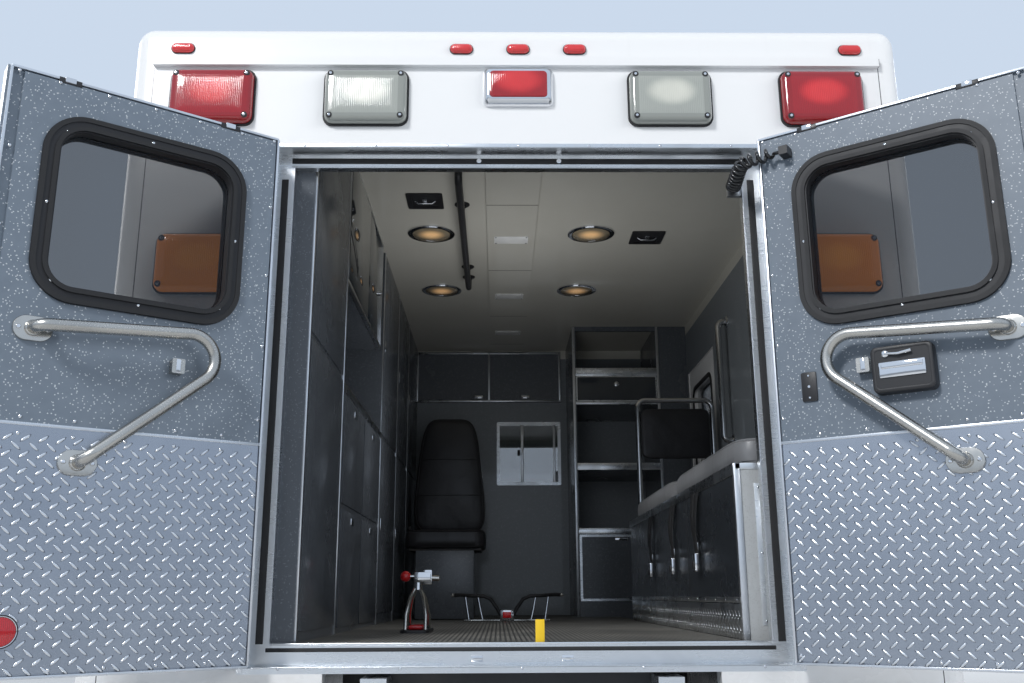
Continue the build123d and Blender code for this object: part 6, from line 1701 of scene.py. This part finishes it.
def latch(trim, here):
    """A dished plate, its paddle and a key lock."""
    trim.hollow((0.153, 0.113, 0.0195), (0.116, 0.076, 0.012), -0.0085, 0.0026, 0, here)
    trim.prism(rounded(0.117, 0.077, 0.0125), -0.0015, 0.0006, 1, here)
    trim.stepped((0.080, 0.052, 0.010), ((0, 0.0004), (0.0005, 0.0045), (0.003, 0.0068), (0.008, 0.0078)), 0,
                 here, (0.010, 0), 0.5)
    trim.turned([(0.0105, 0), (0.0105, 0.0045), (0.0085, 0.0062), (0.0060, 0.0056), (0, 0.0056)],
                (-0.044, 0), 0, here, 20)
    trim.block((-0.0448, -0.0045, 0.0054), (-0.0432, 0.0045, 0.0060), 1, here)


latch_place = HINGE + ALONG * 0.655 + INWARD * LEAF_BACK + Vector((0, 0, LATCH[1]))
leaf_back = wall_frame(latch_place, Vector((0, 0, 1)).cross(-INWARD))
outer_latch = Fitting("rear_door_latch", chrome, black_rubber)
latch(outer_latch, leaf_back @ Matrix.Translation((0, 0, 0.004)))
outer_latch.piece("rear_door_right", "chrome")

seals = Fitting("panel_seals", black_rubber)
for node, wall, forward, (back, front, low, high) in PANELS:
    trim = Fitting(f"{node}_trim", chrome, black_rubber, aluminium)
    latch(trim, wall @ Matrix.Translation((forward * (back + 0.153), (low + high) / 2, 0.009)))
    edge = forward * (front - GAP)
    trim.block((edge - forward * 0.026, low + GAP, 0.0034), (edge - forward * 0.005, high - GAP, 0.0046), 2,
               wall, 0.0004)
    for number in range(int((high - low - 2 * GAP) / KNUCKLE)):
        foot = low + GAP + 0.001 + number * KNUCKLE
        trim.rod([(edge, foot, 0.006), (edge, foot + KNUCKLE - 0.0015, 0.006)], 0.0066, 2, wall, 10)
    if node == "side_door":
        pane = wall @ Matrix.Translation(((back + front) / 2, 1.910, 0))
        for under, over in ((-0.0020, 0.0050), (-0.0600, -0.0540)):
            trim.hollow((0.550, 0.550, 0.075), (0.500, 0.500, 0.050), under, over, 1, pane, steps=8)
    trim.piece(node, "chrome")
    heads = [spot(wall, edge - forward * 0.0155, low + 0.045 + HINGE_SCREW * i, 0.0044)
             for i in range(int((high - low - 0.05) / HINGE_SCREW))]
    copies(f"{node}_hinge_screws", "dome", heads, (0.0040, 0.0040, 0.0022), chrome, node)
    middle = (forward * (back + front) / 2, (low + high) / 2)
    outer, inner = ((front - back - rim, high - low - rim, 0.001) for rim in (0.0002, 0.0085))
    seals.hollow(outer, inner, -0.0240, -0.0050, 0, wall, middle)
seals.piece("vehicle", "frame_black")

# %% Fuel flap
filler = LEFT @ Matrix.Translation((-(REAR + 2.60), 0.955, 0))
flap = Fitting("fuel_flap", module_white, chrome, black_rubber)
flap.hollow((0.196, 0.196, 0.026), (0.184, 0.184, 0.020), 0, 0.0035, 2, filler)
flap.prism(rounded(0.180, 0.180, 0.018), 0, 0.0050, 0, filler, 0.0012)
flap.rod([(-0.092, -0.060, 0.005), (-0.092, 0.060, 0.005)], 0.0045, 1, filler)
flap.turned([(0.012, 0.004), (0.012, 0.0085), (0.010, 0.0100), (0, 0.0100)], (0.066, 0), 1, filler, 20)
flap.piece("vehicle", "body_white")

# %% [markdown]
# ## Cab fittings
# Handles, wipers and the bumper's strip sit on curved panels, so the place and slope of the panel under
# each one is found by a line that is shot at the panel's mesh. Plates stay blank.

# %% Handles and mirrors on the cab doors
def skin(node, start, run):
    """Where a line from start meets a piece's mesh, with the normal there."""
    shape = nodes[node]
    found, place, normal, _ = shape.ray_cast(shape.matrix_world.inverted() @ Vector(start), Vector(run))
    if not found:
        raise ValueError(f"no skin of {node} at {start}")
    return shape.matrix_world @ place, normal.normalized()


mirror_face = bare_metal("mirror_face", (0.55, 0.58, 0.62), 0.04, (1, 1, 1), 0.0, 100, 0.02)
MIRROR_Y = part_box("cab_door_right")[1].y - 0.070
LOCK = (-0.118, -0.010)
HANDLE = ((-0.076, 0, 0.002), (-0.070, 0, 0.020), (-0.050, 0, 0.030), (0.050, 0, 0.030), (0.070, 0, 0.020),
          (0.076, 0, 0.002))
for word, twin in (("right", False), ("left", True)):
    door = Fitting(f"cab_door_{word}_trim", black_plastic, mirror_face, chrome)
    place, normal = skin("cab_door_right", (1.6, 1.345, 1.135), (-1, 0, 0))
    here = wall_frame(place, (0, 1, 0), normal.cross(Vector((0, 1, 0))))
    door.stepped((0.190, 0.060, 0.024), ((0, -0.004), (0.001, 0.003), (0.004, 0.0055)), 0, here, shrink=0.5)
    door.rod(HANDLE, 0.0085, 0, here)
    door.turned([(0.0105, 0.004), (0.0105, 0.0105), (0.0085, 0.0120), (0, 0.0120)], LOCK, 2, here, 20)
    door.turned([(0.0125, -0.004), (0.0125, 0.0040), (0.0105, 0.0045)], LOCK, 0, here, 20)
    glass_frame = wall_frame((1.21, MIRROR_Y, 1.485), (1, 0, 0))
    door.hollow((0.126, 0.300, 0.012), (0.112, 0.286, 0.008), -0.001, 0.0040, 0, glass_frame)
    door.prism(rounded(0.111, 0.196, 0.008, (0, 0.044)), -0.0005, 0.0016, 1, glass_frame)
    door.stepped((0.111, 0.078, 0.010), ((0, -0.0005), (0.004, 0.0026), (0.014, 0.0048), (0.026, 0.0055)), 1,
                 glass_frame, (0, -0.101))
    door.piece(f"cab_door_{word}", "dash_plastic", mirrored=twin)

# %% Wipers, bumper strip and blank plate
AHEAD = 4.5
BLADE_Z = 1.372
PLATE_Z = 0.505


def on_screen(x, z, lift):
    place, normal = skin("windscreen", (x, AHEAD, z), (0, -1, 0))
    return place + normal * lift


wipers = Fitting("wipers", black_plastic, black_rubber)
for pivot_x, near, far in ((-0.60, -0.55, -0.06), (0.06, 0.11, 0.58)):
    line = [near + (far - near) * step / 8 for step in range(9)]
    for lift, radius, finish in ((0.0065, 0.0048, 1), (0.0140, 0.0042, 0)):
        wipers.rod([on_screen(x, BLADE_Z + 0.02 * abs(x), lift) for x in line], radius, finish, LEVEL, 8)
    pivot, _ = skin("cab_shell", (pivot_x, 2.570, 2.2), (0, 0, -1))
    middle = (near + far) / 2
    wipers.rod([pivot - Vector((0, 0, 0.004)), pivot + Vector((0, 0, 0.030))], 0.013, 0, LEVEL)
    arm = [pivot + Vector((0, 0, 0.024)), on_screen(pivot_x, 1.352, 0.034), on_screen(middle, 1.380, 0.022)]
    wipers.rod(arm, [0.0085, 0.0070, 0.0050], 0, LEVEL, 10)
wipers.piece("vehicle", "dash_plastic")

nose = Fitting("front_bumper_trim", black_rubber, module_white, chrome, iron)
for side in (-1, 1):
    strip = [skin("front_bumper", (side * x, AHEAD, PLATE_Z), (0, -1, 0))[0]
             for x in (0.19, 0.3, 0.4, 0.5, 0.6, 0.7, 0.8, 0.86)]
    nose.rod(strip, 0.0140, 0, LEVEL, 10)
plate_place, _ = skin("front_bumper", (0, AHEAD, PLATE_Z), (0, -1, 0))
plate = wall_frame(plate_place, (-1, 0, 0))
nose.prism(rounded(0.312, 0.160, 0.010), -0.002, 0.0060, 0, plate, 0.001)
nose.prism(rounded(0.304, 0.152, 0.012), 0.0060, 0.0076, 1, plate, 0.0005)
for sx, sz in CORNERS:
    nose.screw((sx * 0.089, sz * 0.062), 0.0065, 0.0074, 2, plate)
radiator = wall_frame((0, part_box("front_grille")[0].y - 0.030, 0.825), (-1, 0, 0))
nose.block((-0.50, -0.165, -0.045), (0.50, 0.165, -0.012), 3, radiator, 0.004)
for number in range(40):
    x = -0.4875 + 0.025 * number
    nose.block((x - 0.0030, -0.155, -0.013), (x + 0.0030, 0.155, -0.006), 3, radiator)
nose.piece("vehicle", "frame_black")

# %% Tread on the rear step
step_bars = []
step_top, _ = skin("rear_step_bumper", (0.3, REAR - 0.13, 1.2), (0, 0, -1))
for reach in ((-0.98, -0.06), (0.06, 0.98)):
    step_bars += tread_spots(LEVEL, reach, (REAR - 0.205, REAR - 0.045), step_top.z)
print("rear step at", round(step_top.z, 4), "bars", len(step_bars))
copies("rear_step_tread", "bar", step_bars, BAR, level_aluminium, "vehicle")

# %% [markdown]
# ## Floor, backdrop and light
# A pale floor and a pale sky-grey world stand in for the photograph's surroundings. The sun there comes
# from high on the left behind the camera, so the main lamp does too, as a large soft source.

# %% Stage and lamps
WIDE = 60
ground_mesh = bpy.data.meshes.new("ground")
ground_mesh.from_pydata([(-WIDE, -WIDE, 0), (WIDE, -WIDE, 0), (WIDE, WIDE, 0), (-WIDE, WIDE, 0)], [],
                        [(0, 1, 2, 3)])
ground_plane = linked("ground", ground_mesh)
pale = Finish("pale_ground")
ground_mesh.materials.append(pale.done(pale.shader((0.62, 0.64, 0.66), 0.0, 0.9)))

sky = bpy.data.worlds.new("pale_sky")
bpy.context.scene.world = sky
sky.use_nodes = True
sky_tree = sky.node_tree
light_path = sky_tree.nodes.new("ShaderNodeLightPath")
seen = sky_tree.nodes.new("ShaderNodeMix")
seen.data_type = "RGBA"
seen.inputs[6].default_value = (0.30, 0.33, 0.37, 1)
seen.inputs[7].default_value = (0.60, 0.70, 0.84, 1)
total = light_path.outputs["Is Camera Ray"]
for ray in ("Is Glossy Ray", "Is Transmission Ray"):
    either = sky_tree.nodes.new("ShaderNodeMath")
    either.operation = "MAXIMUM"
    sky_tree.links.new(total, either.inputs[0])
    sky_tree.links.new(light_path.outputs[ray], either.inputs[1])
    total = either.outputs[0]
sky_tree.links.new(total, seen.inputs[0])
sky_tree.links.new(seen.outputs[2], sky_tree.nodes["Background"].inputs["Color"])


def area_lamp(name, place, aim, size, power):
    lamp = linked(name, bpy.data.lights.new(name, "AREA"))
    lamp.data.shape = "RECTANGLE"
    lamp.data.size, lamp.data.size_y = size
    lamp.data.energy = power
    lamp.location = place
    lamp.rotation_mode = "QUATERNION"
    lamp.rotation_quaternion = (Vector(aim) - Vector(place)).to_track_quat("-Z", "Y")
    return lamp


area_lamp("sun_side", (-5.5, REAR - 8.0, 8.5), (0, REAR, 1.6), (2.0, 2.0), 850)
fill_side = area_lamp("fill", (8.0, REAR - 5.0, 5.0), (0, REAR, 1.2), (6.0, 4.0), 350)
fill_side.visible_glossy = False
area_lamp("front_soft", (6.0, 11.0, 7.0), (0, 1, 1), (8.0, 6.0), 700)
area_lamp("left_soft", (-10.0, 3.0, 6.0), (0, 0, 1), (6.0, 6.0), 450)
room_glow = linked("room_glow", bpy.data.lights.new("room_glow", "POINT"))
room_glow.data.energy = 14
room_glow.data.shadow_soft_size = 0.35
room_glow.location = (0, REAR + 1.6, 1.75)
room_glow.visible_camera = False
room_glow.visible_glossy = False
bpy.context.scene.view_settings.view_transform = "Standard"
print("lamps placed")
